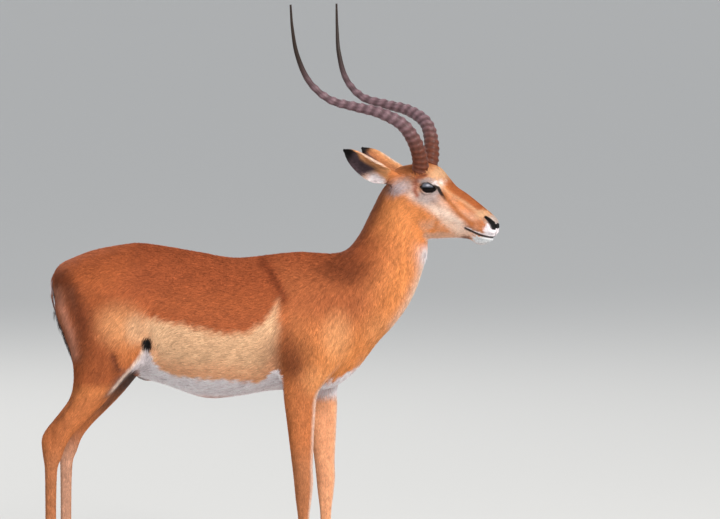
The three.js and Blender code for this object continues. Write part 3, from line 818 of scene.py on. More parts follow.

# ---------------------------------------------------------------- markings, with some painted light and shade

# Light that each kind of hair gives back, as linear red, green and blue.
PALETTE = {
    "saddle": (0.34, 0.080, 0.027),
    "saddle_dark": (0.20, 0.042, 0.014),
    "rump": (0.42, 0.108, 0.034),
    "thigh": (0.33, 0.085, 0.027),
    "shoulder": (0.37, 0.100, 0.036),
    "neck": (0.72, 0.250, 0.078),
    "leg": (0.52, 0.165, 0.055),
    "shank": (0.48, 0.175, 0.072),
    "tan": (0.71, 0.42, 0.24),
    # tan_low is a brighter tan; low on the flank it is painted light.
    "tan_low": (0.92, 0.43, 0.23),
    "ham_tan": (0.47, 0.19, 0.12),
    "pale_orange": (0.76, 0.34, 0.145),
    "dark_brown": (0.15, 0.036, 0.013),
    "shade_brown": (0.26, 0.105, 0.060),
    "white": (0.92, 0.81, 0.84),
    "chin": (0.80, 0.82, 0.84),
    "cream": (0.89, 0.67, 0.56),
    "pink_pale": (0.90, 0.63, 0.50),
    "nose_pale": (0.52, 0.42, 0.37),
    "grey": (0.36, 0.31, 0.31),
    "lilac": (0.44, 0.35, 0.36),
    "temple": (0.46, 0.34, 0.31),
    "black": (0.010, 0.008, 0.008),
    # The groin's darker skin and hair, with painted shade over it.
    "groin": (0.115, 0.075, 0.065),
    "bridge": (0.44, 0.138, 0.040),
    "crown": (0.30, 0.075, 0.034),
    "ear_inside": (0.085, 0.055, 0.062),
}

# Edges of the markings, and lines of painted shade in creases and grooves, in side view: X, and the height
# there.
SADDLE_EDGE = np.array([(-420, 660), (-330, 712), (-302, 717), (-227, 700), (-177, 690), (-102, 673),
                        (-52, 678), (-14, 702), (10, 738), (28, 772), (60, 800)])
BELLY_EDGE = np.array([(-345, 655), (-322, 648), (-300, 634), (-282, 603), (-265, 578), (-240, 563),
                       (-165, 557), (-102, 558), (-52, 551), (-22, 548), (-2, 560), (10, 582), (24, 584),
                       (38, 556), (60, 534), (127, 540), (175, 563), (222, 588), (240, 585), (262, 540)])
SCAPULA_LINE = [(-14, 850), (6, 824), (24, 795), (38, 764)]
NAPE_LINE = [(190, 868), (226, 910), (252, 960), (275, 1012), (292, 1048)]
NECK_FRONT = [(392, 860), (380, 812), (352, 745), (318, 690)]
TAN_RISE = [(-60, 650), (-10, 668), (16, 690)]
HAM_BAND = [(-514, 805), (-492, 780), (-484, 755), (-474, 730), (-465, 700), (-461, 640)]
HAM_EDGE = [(-530, 784), (-521, 758), (-513, 733), (-506, 706), (-495, 681), (-490, 656), (-486, 625)]
THIGH_FRONT = np.array([(-300, 660), (-312, 640), (-326, 615), (-345, 590), (-364, 566), (-390, 533),
                        (-434, 491)])
STIFLE_CREASE = [(-387, 624), (-381, 606), (-374, 588)]
HOCK_CREASES = {"long": [(-478, 545), (-505, 495), (-535, 455)], "short": [(-514, 476), (-508, 440)]}
BUTTOCK_STRIPE = [(26, 798), (46, 768), (60, 730), (69, 690), (71, 645), (68, 612)]  # Y and Z, on the back
EAR_TIP_BLACK = 0.86
GLAND_PLACE = (-566, 81, 128)

# Lines on the face in the head's own frame: ahead, side and up, or ahead and up.
FACE_STRIPE = [(118, 44, 1018), (140, 38, 990), (160, 32, 968), (186, 28, 944)]
BROW_LINE = [(104, 44, 1046), (122, 36, 1029), (165, 27, 999), (206, 22, 972)]
CHEEK_BAND = [(42, 58, 1017), (111, 48, 976), (148, 36, 951), (183, 26, 928)]
ORBIT_LINE = [(54, 60, 1016), (47, 60, 1030), (49, 58, 1048), (58, 54, 1062), (74, 50, 1070)]
TEAR_LINE = np.array([(84, 1044), (93, 1039), (104, 1034), (108, 1027), (113, 1020), (118, 1012),
                      (124, 1004)])

WAVES = unit(np.random.default_rng(5).normal(size=(18, 3))) * np.linspace(0.05, 0.19, 18)[:, None]
PHASES = np.random.default_rng(6).uniform(0, 2 * np.pi, 18)


def mottle(points, size=1.0):
    """Smooth noise of about -1 to 1, with patches some 30 to 120 mm across at size 1."""
    total = np.zeros(len(points))
    for wave, phase in zip(WAVES, PHASES):
        total += np.sin(points @ (wave / size) + phase)
    return total / 4.2


def above(edge, x, z, soft):
    return smoothstep(-soft, soft, z - np.interp(x, edge[:, 0], edge[:, 1]))


def spot(u, v, centre, radii, soft=0.5):
    d = np.hypot((u - centre[0]) / radii[0], (v - centre[1]) / radii[1])
    return 1 - smoothstep(1 - soft, 1 + soft, d)


def stripe(plane, line, reach):
    return np.exp(-((along_line(plane, line)[0] / reach) ** 2))


def ear_places(points):
    """How far along its side's ear each point lies, whether it is on the ear, and the side, 1 for left."""
    head = to_head(points)
    hand = np.where(head[:, 1] > 0, 1, -1)
    gap = np.full(len(points), np.inf)
    share = np.zeros(len(points))
    for side in HANDS.values():
        where = np.flatnonzero((hand == side) & (np.abs(head[:, 0] + 60) < 110) & (points[:, 2] > 1015))
        line = ear_frame(side, EAR_ROWS)[0]
        gap[where], share[where] = along_line(head[where], line)
    return share, (gap < 36) & (share > 0.17), hand


class Paint:
    """A layer of colours. Calling it lays one colour of the palette over them by a mask."""

    def __init__(self, colours):
        self.colours = colours

    def __call__(self, name, mask):
        strength = np.clip(mask, 0, 1)[:, None]
        self.colours = self.colours + (np.array(PALETTE[name]) - self.colours) * strength


def share_on_head(points):
    head = to_head(points)
    return smoothstep(-12, 26, head[:, 0] + 0.35 * (points[:, 2] - 985)) * smoothstep(868, 905, points[:, 2])


def inner_side(normals):
    """1 where a leg faces the other leg."""
    return smoothstep(0.15, 0.6, -normals[:, 1])


def paint_neck(paint, p, normals):
    """Neck and shoulder."""
    x, _, z = p.T
    plane = p[:, [0, 2]]
    paint("shoulder", smoothstep(330, 200, x) * smoothstep(620, 760, z) * 0.9)
    paint("saddle", spot(x, z, (110, 880), (170, 62), 0.7) * 0.8)
    paint("dark_brown", spot(x, z, (186, 832), (60, 34), 0.8) * 0.8)
    paint("dark_brown", stripe(plane, NAPE_LINE, 18) * (0.6 + 0.2 * smoothstep(930, 990, z)))
    paint("crown", smoothstep(0.45, 0.9, normals[:, 2]) * smoothstep(190, 250, x) * 0.5)
    paint("pale_orange", spot(x, z, (168, 668), (34, 54), 0.7) * 0.7)
    paint("pale_orange", spot(x, z, (276, 676), (36, 46), 0.8) * 0.35)
    paint("pink_pale", stripe(plane, NECK_FRONT, 18) * 0.75)


def paint_flank(paint, p, ragged):
    """Rump, saddle and flank. The saddle's lower edge is cut at the ragged heights."""
    x, _, z = p.T
    plane = p[:, [0, 2]]
    hind = smoothstep(-270, -350, x)
    on_trunk = smoothstep(-330, -290, x) * (1 - smoothstep(5, 40, x))
    paint("rump", hind * smoothstep(560, 700, z))
    paint("thigh", hind * smoothstep(800, 700, z) * smoothstep(520, 560, z))
    back = smoothstep(45, 5, x + 0.25 * (z - 800)) * smoothstep(-420, -300, x)
    over_edge = above(SADDLE_EDGE, x, ragged, 15)
    paint("saddle", np.maximum(over_edge * back, smoothstep(800, 860, z) * hind * 0.6))
    paint("saddle_dark", smoothstep(835, 885, z) * smoothstep(250, 150, x) * smoothstep(-430, -300, x) * 0.3)
    paint("rump", smoothstep(810, 740, z) * back * 0.55)
    flank = (1 - over_edge) * on_trunk
    paint("tan", flank)
    # Painted light: a brighter tan low on the flank, making up for the shade there as it faces down.
    paint("tan_low", flank * (1 - above(BELLY_EDGE + (0, 36), x, ragged, 28)) * 0.85)
    paint("tan", stripe(plane, TAN_RISE, 13) * 0.5)
    # Painted shade in the groove behind the shoulder blade, at the edge of the darker saddle.
    paint("saddle_dark", stripe(plane, SCAPULA_LINE, 13) * 0.9)


def paint_thigh(paint, p):
    x, _, z = p.T
    plane = p[:, [0, 2]]
    paint("neck", spot(x, z, (-348, 640), (36, 46), 0.8) * 0.45)
    paint("pale_orange", spot(x, z, (-368, 700), (52, 44), 0.8) * 0.75)
    paint("tan", spot(x, z, (-328, 690), (26, 34), 0.7) * 0.7)
    # Painted shade down the groove between the hams.
    ham = stripe(plane, HAM_BAND, 30) * smoothstep(850, 805, z)
    paint("dark_brown", ham * (0.55 + 0.45 * smoothstep(640, 720, z)))
    paint("dark_brown", stripe(plane, HAM_BAND[:4], 15) * 0.5)
    paint("ham_tan", stripe(plane, HAM_EDGE, 13) * 0.95)
    # Painted shade in the crease behind the stifle.
    paint("dark_brown", stripe(plane, STIFLE_CREASE, 8))


def paint_legs(paint, p, normals):
    x, _, z = p.T
    plane = p[:, [0, 2]]
    inner = inner_side(normals)
    fore = x > -150
    paint("leg", smoothstep(570, 500, z))
    paint("shank", smoothstep(420, 330, z))
    paint("dark_brown", spot(x, z, (52, 626), (56, 58), 0.85) * 0.75)
    paint("dark_brown", spot(x, z, (64, 592), (25, 26), 0.9) * 0.45)
    paint("pale_orange", spot(x, z, (120, 560), (40, 34), 0.8) * 0.4)
    # Painted shade in the creases of the hock.
    paint("dark_brown", stripe(plane, HOCK_CREASES["long"], 10) * 0.35)
    paint("dark_brown", stripe(plane, HOCK_CREASES["short"], 6) * 0.35)
    paint("dark_brown", spot(x, z, (-540, 440), (20, 46), 0.8) * 0.4)
    # Painted light: the forward-facing side of each foreleg is made paler.
    lit_foreleg_front = smoothstep(0.6, 0.9, normals[:, 0]) * smoothstep(640, 560, z) * fore
    paint("cream", lit_foreleg_front * 0.6 * smoothstep(80, 140, z))
    paint("tan_low", inner * smoothstep(640, 560, z) * 0.75 * smoothstep(60, 160, z) * fore)
    inner_thigh = smoothstep(700, 640, z) * smoothstep(420, 500, z) * smoothstep(-280, -320, x)
    paint("shade_brown", inner * inner_thigh * 0.9)
    # Painted shade in the groin, over its darker skin and hair.
    paint("groin", inner * near(p, (-345, 50, 570), (40, 80, 55)) * 1.3)
    paint("cream", inner * smoothstep(440, 340, z) * 0.25 * smoothstep(60, 160, z) * (x < -150))


def paint_underside(paint, p, normals, ragged):
    """Belly, groin, brisket and the neck's front."""
    x, y, z = p.T
    plane = p[:, [0, 2]]
    low = 1 - above(BELLY_EDGE, x, ragged, 7)
    on_leg = smoothstep(28, 36, x) * smoothstep(140, 124, x) * smoothstep(40, 58, y)
    on_leg *= smoothstep(-0.1, 0.2, normals[:, 1])
    before_thigh = smoothstep(-2, 5, x - np.interp(z, THIGH_FRONT[::-1, 1], THIGH_FRONT[::-1, 0]))
    lowest = np.where(x < -322, 575, 505)
    paint("white", low * before_thigh * smoothstep(-15, 15, z - lowest) * (1 - on_leg))
    # Painted shade on the white belly below the flank's fold.
    paint("grey", spot(x, z, (-312, 612), (24, 34), 0.7) * low * before_thigh * 0.5)
    downwards = smoothstep(0.2, 0.7, -normals[:, 2])
    # Painted shade, in the groin's colour, on the downward-facing skin between the thighs.
    between_thighs = smoothstep(500, 540, z) * smoothstep(-325, -345, x) * smoothstep(-470, -420, x)
    paint("groin", downwards * between_thighs)
    paint("white", inner_side(normals) * smoothstep(490, 560, z) * smoothstep(-20, 20, x) * 0.6)
    rim = stripe(plane, THIGH_FRONT, 4) * smoothstep(0.2, 0.5, normals[:, 1])
    paint("cream", rim * smoothstep(515, 545, z) * 0.85)
    front = smoothstep(0.6, 0.92, normals[:, 0]) * (1 - smoothstep(8, 24, y)) * smoothstep(250, 290, x)
    paint("pink_pale", front * 0.8)
    paint("white", near(p, (394, 0, 882), (26, 44, 34)) * 1.8)
    paint("black", spot(x, z, (-304, 652), (13.5, 17), 0.2) * (y > 40))


def paint_rump(paint, p, normals):
    """The back of the buttocks: white between two black stripes."""
    x, y, z = p.T
    behind = smoothstep(0.2, 0.5, -normals[:, 0]) * smoothstep(-450, -480, x) * smoothstep(590, 630, z)
    rear_plane = p[:, [1, 2]]
    sides, heights = np.array(BUTTOCK_STRIPE[::-1]).T
    within = 1 - smoothstep(-4, 4, y - np.interp(z, heights, sides))
    paint("dark_brown", spot(x, z, (-518, 812), (26, 24), 0.7) * 0.7)
    paint("shade_brown", behind * smoothstep(810, 780, z) * 0.3)
    paint("white", behind * within * (1 - smoothstep(790, 810, z)))
    stripes = smoothstep(0.35, 0.6, stripe(rear_plane, BUTTOCK_STRIPE, 9))
    paint("black", stripes * smoothstep(0.05, 0.3, behind))


def paint_feet(paint, p):
    """The glands of the hind fetlocks, and the hair above the hooves."""
    x, _, z = p.T
    paint("black", smoothstep(0.3, 0.6, near(p, GLAND_PLACE, (14, 16, 26))) * (x < -550))
    heel = np.where(x > -150, HEELS["fore"], HEELS["hind"])
    paint("dark_brown", smoothstep(40, 22, z - CORONET["slope"] * (x - heel)) * 0.6)


def body_colour(p, normals, wobble):
    """The markings of trunk, neck and legs, with some painted light and shade, on squared() points."""
    paint = Paint(np.tile(PALETTE["neck"], (len(p), 1)))
    ragged = p[:, 2] + 4 * wobble
    paint_neck(paint, p, normals)
    paint_flank(paint, p, ragged)
    paint_thigh(paint, p)
    paint_legs(paint, p, normals)
    paint_underside(paint, p, normals, ragged)
    paint_rump(paint, p, normals)
    paint_feet(paint, p)
    return paint.colours


def band(h, line, reach):
    """1 on a line laid over the head's skin, fading away from it."""
    return np.exp(-((along_line(h, snapped(line, h))[0] / reach) ** 2))


def paint_face(paint, h, uneven, normals):
    """Bridge, crown, cheek and temple. uneven is h with its places a little disturbed."""
    u, v, w = uneven.T
    outwards = smoothstep(0.1, 0.5, normals[:, 1])
    not_below = smoothstep(-0.2, 0.2, normals[:, 2])
    top = (1 - smoothstep(18, 32, v)) * smoothstep(0.0, 0.4, normals[:, 2])
    paint("bridge", top * smoothstep(50, 100, u))
    along_bridge = smoothstep(90, 120, u) * smoothstep(222, 200, u)
    paint("saddle", (1 - smoothstep(22, 34, v)) * along_bridge * 0.5 * not_below)
    paint("crown", smoothstep(66, 34, u) * smoothstep(1040, 1064, w) * 0.35)
    paint("crown", near(h, (46, 0, 1095), (40, 34, 24)) * 0.35)
    paint("tan", spot(u, w, (100, 1068), (28, 17), 0.8) * 0.85)
    ahead = smoothstep(-9, 10, ((u - 116) * 60 + (w - 940) * 56) / 82)
    paint("pink_pale", spot(u, w, (146, 942), (52, 34), 0.6) * 0.8 * ahead)
    paint("cream", spot(u, w, (112, 985), (30, 24), 0.7) * 0.6 * outwards * ahead)
    paint("cream", band(h, CHEEK_BAND, 13) * 0.8)
    paint("cream", spot(u, w, (172, 934), (26, 14), 0.7) * 0.6)
    streak = smoothstep(-0.3, 0.8, mottle(h * (1, 1, 0.35), 0.055))
    paint("dark_brown", spot(u, w, (26, 1064), (26, 14), 0.8) * streak * 0.25)
    paint("temple", spot(u, w, (18, 1038), (34, 19), 0.6) * (0.75 + 0.25 * streak))
    paint("grey", spot(u, w, (82, 1012), (33, 18), 0.6) * 0.85)
    paint("grey", spot(u, w, (101, 1026), (13, 9), 0.6) * 0.8)
    paint("grey", spot(u, w, (78, 1050), (22, 9), 0.7) * 0.75 * outwards)
    paint("cream", spot(u, w, (104, 1042), (12, 11), 0.5) * 0.85)
    paint("white", spot(u, w, (99, 1045), (10, 5), 0.6) * 0.7)
    paint("bridge", band(h, FACE_STRIPE, 9.5) * 0.95)
    paint("tan", band(h, BROW_LINE, 5) * 0.6)
    paint("crown", band(h, ORBIT_LINE, 6.5) * 0.9)


def paint_muzzle(paint, h, uneven, normals):
    u, _, w = uneven.T
    paint("bridge", spot(u, w, (200, 938), (34, 16), 0.6) * 0.75)
    paint("tan", spot(u, w, (212, 968), (18, 11), 0.6) * 0.8)
    paint("nose_pale", spot(u, w, (236, 954), (18, 13), 0.5) * 0.95)
    paint("pink_pale", smoothstep(0.35, 0.75, -normals[:, 2]) * smoothstep(-10, 40, u) * 0.5)
    paint("white", smoothstep(0.75, 0.95, -normals[:, 2]) * smoothstep(20, 60, u) * 0.9)
    paint("white", smoothstep(2, -5, w - 931 - 0.16 * (u - 200)) * smoothstep(210, 228, u))
    paint("white", spot(u, w, (236, 931), (19, 16), 0.3))
    lip = w - np.interp(u, MOUTH[:, 0], MOUTH[:, 1])
    paint("white", smoothstep(9, 6, lip) * smoothstep(-1, 1, lip) * smoothstep(166, 176, u) * 0.8)
    paint("chin", smoothstep(914, 909, w - 0.12 * (220 - u)) * smoothstep(176, 192, u))
    paint("dark_brown", spot(u, w, (166, 909), (13, 6), 0.7) * 0.8)
    nostril, mouth = slit_gaps(h)
    paint("black", (1 - smoothstep(2.0, 3.8, mouth)) * 0.92)
    paint("black", nose_pad(h))
    paint("black", 1 - smoothstep(5.0, 6.8, nostril))


def paint_eyes(paint, h, uneven):
    """The lids' black rims and the black line from the eye's front corner."""
    u, v, w = uneven.T
    on_side = v > EYE_CENTRE[1] - 4
    along, across, _ = eye_view(h, 1)
    rim = 1.06 + 0.1 * smoothstep(0, 12, along)
    paint("grey", spot(along, across, (-4, 11), (18, 7), 0.6) * on_side * 0.8)
    paint("black", (1 - smoothstep(rim, rim + 0.1, eye_share(h, 1))) * on_side)
    tear = along_line(h[:, [0, 2]], TEAR_LINE)[0] + 1.2 * smoothstep(104, 120, u)
    paint("black", (1 - smoothstep(2.6, 4.6, tear)) * (v > 24) * (0.95 - 0.6 * smoothstep(1018, 1004, w)))


def head_colour(h, normals):
    """The markings of the head, on mirrored_head() points and normals in the head's frame."""
    paint = Paint(np.tile(PALETTE["neck"], (len(h), 1)))
    uneven = h + 2.2 * np.stack([mottle(h, 0.16), 0 * h[:, 0], mottle(h[:, ::-1], 0.16)], 1)
    paint_face(paint, h, uneven, normals)
    paint_muzzle(paint, h, uneven, normals)
    paint_eyes(paint, h, uneven)
    return paint.colours


def ear_colour(share, inside, across):
    """across runs from -1 at the ear's lower rim to 1 at its upper one."""
    paint = Paint(np.tile(PALETTE["pale_orange"], (len(share), 1)))
    rim = smoothstep(0.72, 0.95, np.abs(across))
    paint("shoulder", (1 - inside) * smoothstep(0.75, 0.3, np.abs(across)) * 0.6)
    lower = smoothstep(0.3, -0.15, across - 1.1 * smoothstep(0.66, 0.88, share))
    paint("cream", rim * smoothstep(0.8, 0.6, share) * smoothstep(0.2, 0.35, share) * 0.7)
    dark_from = smoothstep(0.30, 0.42, share + 0.15 * across)
    paint("ear_inside", smoothstep(-0.4, 0.2, inside - 0.3 * (across > 0)) * lower * dark_from)
    paint("white", spot(share, across, (0.31, -0.75), (0.14, 0.45), 0.5) * 0.9)
    paint("black", smoothstep(EAR_TIP_BLACK - 0.05, EAR_TIP_BLACK + 0.05, share + 0.04 * inside))
    return paint.colours


TAIL_LINE = np.array([((r[0] + r[2]) / 2, 0, (r[1] + r[3]) / 2) for r in TAIL])


def tail_places(points):
    gap, share = along_line(points, TAIL_LINE)
    on = (gap < 15) & (points[:, 0] < -490) & (share > 0.16) & (np.abs(points[:, 1]) < 16)
    return share, on


def tail_colour(points, normals, share):
    """The outer side black, the inner side white."""
    paint = Paint(np.tile(PALETTE["ham_tan"], (len(points), 1)))
    paint("white", smoothstep(-0.1, 0.3, normals[:, 0]) * smoothstep(0.2, 0.3, share))
    paint("rump", smoothstep(0.3, 0.2, share))
    paint("black", smoothstep(0.3, 0.55, -normals[:, 0]) * smoothstep(0.16, 0.26, share) * 0.95)
    return paint.colours


def coat_colour(points, normals):
    """The one set of markings, with its painted light and shade, that skin and coat both carry."""
    mirror = np.ones_like(points)
    mirror[:, 1] = np.sign(points[:, 1])
    colour = body_colour(squared(points), normals * mirror, mottle(points, 0.35))
    head = mirrored_head(points)
    turned = turn_to_head(normals)
    mirror[:, 1] = np.sign(to_head(points)[:, 1])
    on_head = share_on_head(points)
    where = np.flatnonzero(on_head)
    face = head_colour(head[where], (turned * mirror)[where])
    colour[where] += (face - colour[where]) * on_head[where, None]
    paint = Paint(colour)
    below_ear = near(head, (-3, 52, 1032), (28, 28, 13)) * (1 + 0.5 * mottle(points, 0.12))
    paint("lilac", np.minimum(1.4 * below_ear, 0.9))
    # Painted shade in the crease under the ear's root.
    paint("dark_brown", 0.8 * near(head, (-30, 52, 1050), (12, 24, 4)))
    colour = paint.colours
    share, on_ear, hand = ear_places(points)
    for side in HANDS.values():
        where = np.flatnonzero(on_ear & (hand == side))
        line, _, out, cross = ear_rows(side, share[where])
        half = np.maximum(3, EAR_HALF_WIDTH * leaf_share(share[where]))
        across = -side * ((to_head(points[where]) - line) * cross).sum(1) / half
        facing = (turned[where] * out).sum(1)
        colour[where] = ear_colour(share[where], smoothstep(-0.1, 0.35, facing), across)
    share, on_tail = tail_places(points)
    colour[on_tail] = tail_colour(points[on_tail], normals[on_tail], share[on_tail])
    on_neck = smoothstep(-20, 60, points[:, 0]) * smoothstep(520, 620, points[:, 2]) * (1 - on_head)
    fine = (0.055 + 0.055 * on_neck) * (mottle(points, 0.12) + mottle(points, 0.22))
    return colour * (1 + 0.06 * mottle(points, 0.6) + fine)[:, None]


store_colour(skin.data, coat_colour(points_of(skin.data), normals_of(skin.data)))

# ---------------------------------------------------------------- the lie of the coat

# Which way the hair lies: X and Z in side view, and its direction there.
LIE = [
    (-525, 830, -0.5, -0.8), (-450, 870, -1, -0.3), (-350, 880, -1, -0.1), (-200, 860, -1, -0.05),
    (-50, 850, -1, -0.08), (80, 860, -1, -0.15), (-200, 760, -1, -0.2), (-60, 750, -1, -0.3),
    (-200, 640, -1, -0.2), (-60, 620, -1, -0.15), (-250, 560, -1, 0.1), (-100, 525, -1, 0),
    (0, 530, -1, 0), (-420, 760, -0.75, -0.65), (-350, 700, -0.6, -0.8), (-480, 700, -0.4, -0.9),
    (-420, 620, -0.5, -0.85), (-320, 630, -0.3, -1), (-440, 540, -0.55, -0.8), (-510, 460, -0.6, -0.8),
    (-545, 400, -0.2, -1), (-548, 250, 0, -1), (-545, 120, 0.1, -1), (-520, 40, 0.5, -0.9),
    (50, 760, -0.7, -0.7), (120, 700, -0.4, -0.9), (180, 720, -0.15, -1), (50, 640, -0.4, -0.95),
    (130, 600, -0.1, -1), (80, 500, 0, -1), (80, 300, 0, -1), (82, 130, 0.1, -1), (100, 50, 0.4, -0.9),
    (200, 850, -0.6, -0.8), (260, 760, -0.3, -1), (300, 900, -0.45, -0.9), (350, 850, -0.3, -1),
    (300, 1000, -0.5, -0.87), (370, 950, -0.3, -1), (150, 870, -0.9, -0.4), (230, 640, -0.5, -0.8),
]
# The same in the head's own frame: ahead and up, and the direction there.
HEAD_LIE = [
    (250, 935, -1, 0.15), (220, 965, -1, 0.4), (160, 1000, -1, 0.5), (110, 1045, -1, 0.6),
    (60, 1088, -0.9, 0.2), (20, 1080, -1, -0.2), (-10, 1040, -0.9, -0.5), (160, 940, -1, -0.05),
    (100, 960, -1, -0.35), (60, 940, -0.85, -0.5), (30, 980, -0.85, -0.5), (80, 1000, -1, -0.15),
    (40, 1040, -1, 0.1), (10, 930, -0.6, -0.8), (200, 910, -1, 0), (120, 910, -1, -0.1),
]
STRAY = math.radians(7)  # how far single tufts turn from the lie


def blended(places, anchors, reach):
    """The anchors' directions, each counting more the nearer it is."""
    total = np.zeros((len(places), 2))
    for x, z, dx, dz in anchors:
        gap = ((places - (x, z)) ** 2).sum(1) / reach**2
        total += unit((dx, dz)) / ((1 + gap) ** 3)[:, None]
    return unit(total)


def down_tail(share):
    """Directions down the tail at shares of its length."""
    down = unit(np.gradient(TAIL_LINE, axis=0))
    return down[np.minimum((share * (len(down) - 1)).astype(int), len(down) - 1)]


def lie(points, normals):
    """The direction of the hair at each place, along the skin."""
    flow = blended(squared(points)[:, [0, 2]], LIE, 60)
    hand = np.sign(points[:, 1])
    way = np.stack([flow[:, 0], 0.15 * hand, flow[:, 1]], 1)
    head = to_head(points)
    flow = blended(head[:, [0, 2]], HEAD_LIE, 30)
    face = turn_to_body(np.stack([flow[:, 0], 0.2 * np.sign(head[:, 1]), flow[:, 1]], 1))
    way += (face - way) * share_on_head(points)[:, None]
    share, on_ear, ear_hand = ear_places(points)
    for side in HANDS.values():
        where = np.flatnonzero(on_ear & (ear_hand == side))
        way[where] = turn_to_body(ear_rows(side, share[where])[1])
    share, on_tail = tail_places(points)
    way[on_tail] = down_tail(share[on_tail])
    way = unit(way - (way * normals).sum(1)[:, None] * normals)
    turn = STRAY * (random.normal(size=len(points)) + mottle(points, 0.25))
    return way * np.cos(turn)[:, None] + np.cross(normals, way) * np.sin(turn)[:, None]


TUFT_LENGTH = 15  # on the trunk
EAR_TUFT = (6, 1.2, 0.8)  # length, width and height
TAIL_TUFT = (22, 1.8, 4)


def measures(points):
    """Each tuft's length, its width and how high its tip stands over the skin, for any place."""
    p = squared(points)
    x, _, z = p.T
    head = mirrored_head(points)
    length = TUFT_LENGTH - 6.5 * (1 - smoothstep(440, 620, z)) - 2.5 * (1 - smoothstep(100, 300, z))
    length += 3 * near(p, (-120, 0, 520), (220, 60, 30))  # belly
    rump_patch = near(p, (-535, 20, 700), (40, 48, 80))
    throat = near(p, (396, 0, 880), (20, 46, 26))
    length += 9 * rump_patch + 7 * throat
    width = 1.25 + 0.058 * length
    height = 0.19 * length - 0.35 + 6 * rump_patch + 5 * throat
    on_head = share_on_head(points)
    face = 3.0 + 3.0 * smoothstep(190, 60, head[:, 0]) + 5.0 * smoothstep(40, 0, head[:, 0])
    face -= 3.2 * near(head, (90, 50, 1036), (34, 30, 24))
    face += 3.5 * near(head, (212, 0, 896), (26, 20, 10))
    length += (face - length) * on_head
    width += (0.62 + 0.09 * face - width) * on_head
    height += (0.14 * face + 0.05 - height) * on_head
    on_ear = ear_places(points)[1]
    length[on_ear], width[on_ear], height[on_ear] = EAR_TUFT
    on_tail = tail_places(points)[1]
    outer_side = smoothstep(0, 8, np.interp(z, TAIL_LINE[::-1, 2], TAIL_LINE[::-1, 0]) - x)
    length[on_tail], width[on_tail], height[on_tail] = TAIL_TUFT
    height[on_tail] -= 2 * outer_side[on_tail]
    gland = near(p, GLAND_PLACE, (14, 14, 22)) * (x < -550)
    over_claws = smoothstep(12, 3, coronet_height(points)) * (points[:, 2] < 90)
    tuft = 8 * smoothstep(0.3, 0.6, gland) + 3 * over_claws
    return length + tuft, width, height + 0.3 * tuft


LAYERS = 2.8  # tufts over any one spot of skin
HORN_COLLAR = 31  # how far from a horn's axis its root is wrapped in longer hair


def bare(points):
    """Places without hair: eyes, nostrils, the line of the mouth, the nose and below the coronets."""
    head = mirrored_head(points)
    eye = (eye_share(head, 1) < 1.08) & (head[:, 1] > EYE_CENTRE[1] - 4) & (points[:, 2] > 1000)
    eye &= np.abs(head[:, 0] - EYE_CENTRE[0]) < 24
    nostril, mouth = slit_gaps(head)
    behind = slit_gaps(head - (2.5, 0, 0))[0]
    snout = (np.minimum(nostril, behind) < 5.6) | (mouth < 2.2) | (nose_pad(head) > 0.4)
    snout &= points[:, 2] > 880
    return eye | snout | (coronet_height(points) < 1.5) & (points[:, 2] < 90)


def triangles_of(mesh):
    """Corner vertices and corner loops of the mesh's triangles."""
    mesh.calc_loop_triangles()
    return [read(mesh.loop_triangles, name, 3, np.int32) for name in ("vertices", "loops")]


def unwrapped(ob):
    """Unwraps the skin by its own shape, and gives the unwrap's place for each loop."""
    bpy.context.view_layer.objects.active = ob
    ob.select_set(True)
    ob.data.uv_layers.new(name="OFBake")
    bpy.ops.object.mode_set(mode="EDIT")
    bpy.ops.mesh.select_all(action="SELECT")
    bpy.ops.uv.smart_project(angle_limit=math.radians(66), island_margin=0.002)
    bpy.ops.object.mode_set(mode="OBJECT")
    ob.select_set(False)
    return read(ob.data.uv_layers["OFBake"].uv, "vector", 2)


PATCH = 0.0015  # half the size of a tuft's spot on the unwrap
# A flat tuft of four faces: its root's left and right corner, its ridge, and its tip.
TUFT_FACES = np.array([(0, 3, 1), (0, 2, 3), (2, 1, 3), (0, 1, 2)])
TUFT_UNDERSIDE = (0, 3)
# Each tuft darker at its root and lighter at its tip: painted shade and painted light for depth in the coat.
TUFT_ROOT_SHADE_TIP_LIGHT = [0.86, 0.86, 0.97, 1.12]
TUFT_TONE_SPREAD = 0.16
TUFT_UV = PATCH * np.array([(-1, -1), (1, -1), (0, 0), (0, 1)])
TUFT_SUNK = 0.35
SHADE_OF_SKIN = 0.72  # how much a tuft's shading follows that of the skin under it


def coat_mesh(name, shapes, faces, underside, normals, colours, patches, roots):
    """One mesh of many alike tufts. shapes is (tufts, points, 3), and patches lays a tuft's points round
    its root's place on the unwrap."""
    tufts, size = shapes.shape[:2]
    count = len(faces)
    index = (faces[None] + np.arange(tufts)[:, None, None] * size).reshape(-1)
    mesh = bpy.data.meshes.new(name)
    mesh.vertices.add(tufts * size)
    write(mesh.vertices, "co", placed(shapes.reshape(-1, 3)))
    mesh.loops.add(tufts * count * 3)
    write(mesh.loops, "vertex_index", index, np.int32)
    mesh.polygons.add(tufts * count)
    write(mesh.polygons, "loop_start", np.arange(tufts * count) * 3, np.int32)
    mesh.update(calc_edges=True)
    a, b, c = (shapes[:, faces[:, k]] for k in range(3))
    flat = unit(np.cross(b - a, c - a))
    smooth = unit(flat * (1 - SHADE_OF_SKIN) + normals[:, None] * SHADE_OF_SKIN)
    smooth[:, underside] = flat[:, underside]
    layer = mesh.attributes.new("custom_normal", "FLOAT_VECTOR", "CORNER")
    write(layer.data, "vector", np.repeat(smooth.reshape(-1, 3), 3, axis=0))
    store_colour(mesh, colours.reshape(-1, 3))
    layer = mesh.uv_layers.new(name="OFBake")
    write(layer.uv, "vector", np.clip((roots[:, None] + patches)[:, faces], 0, 1))
    made = added(name, mesh)
    smooth_faces(made)
    return made


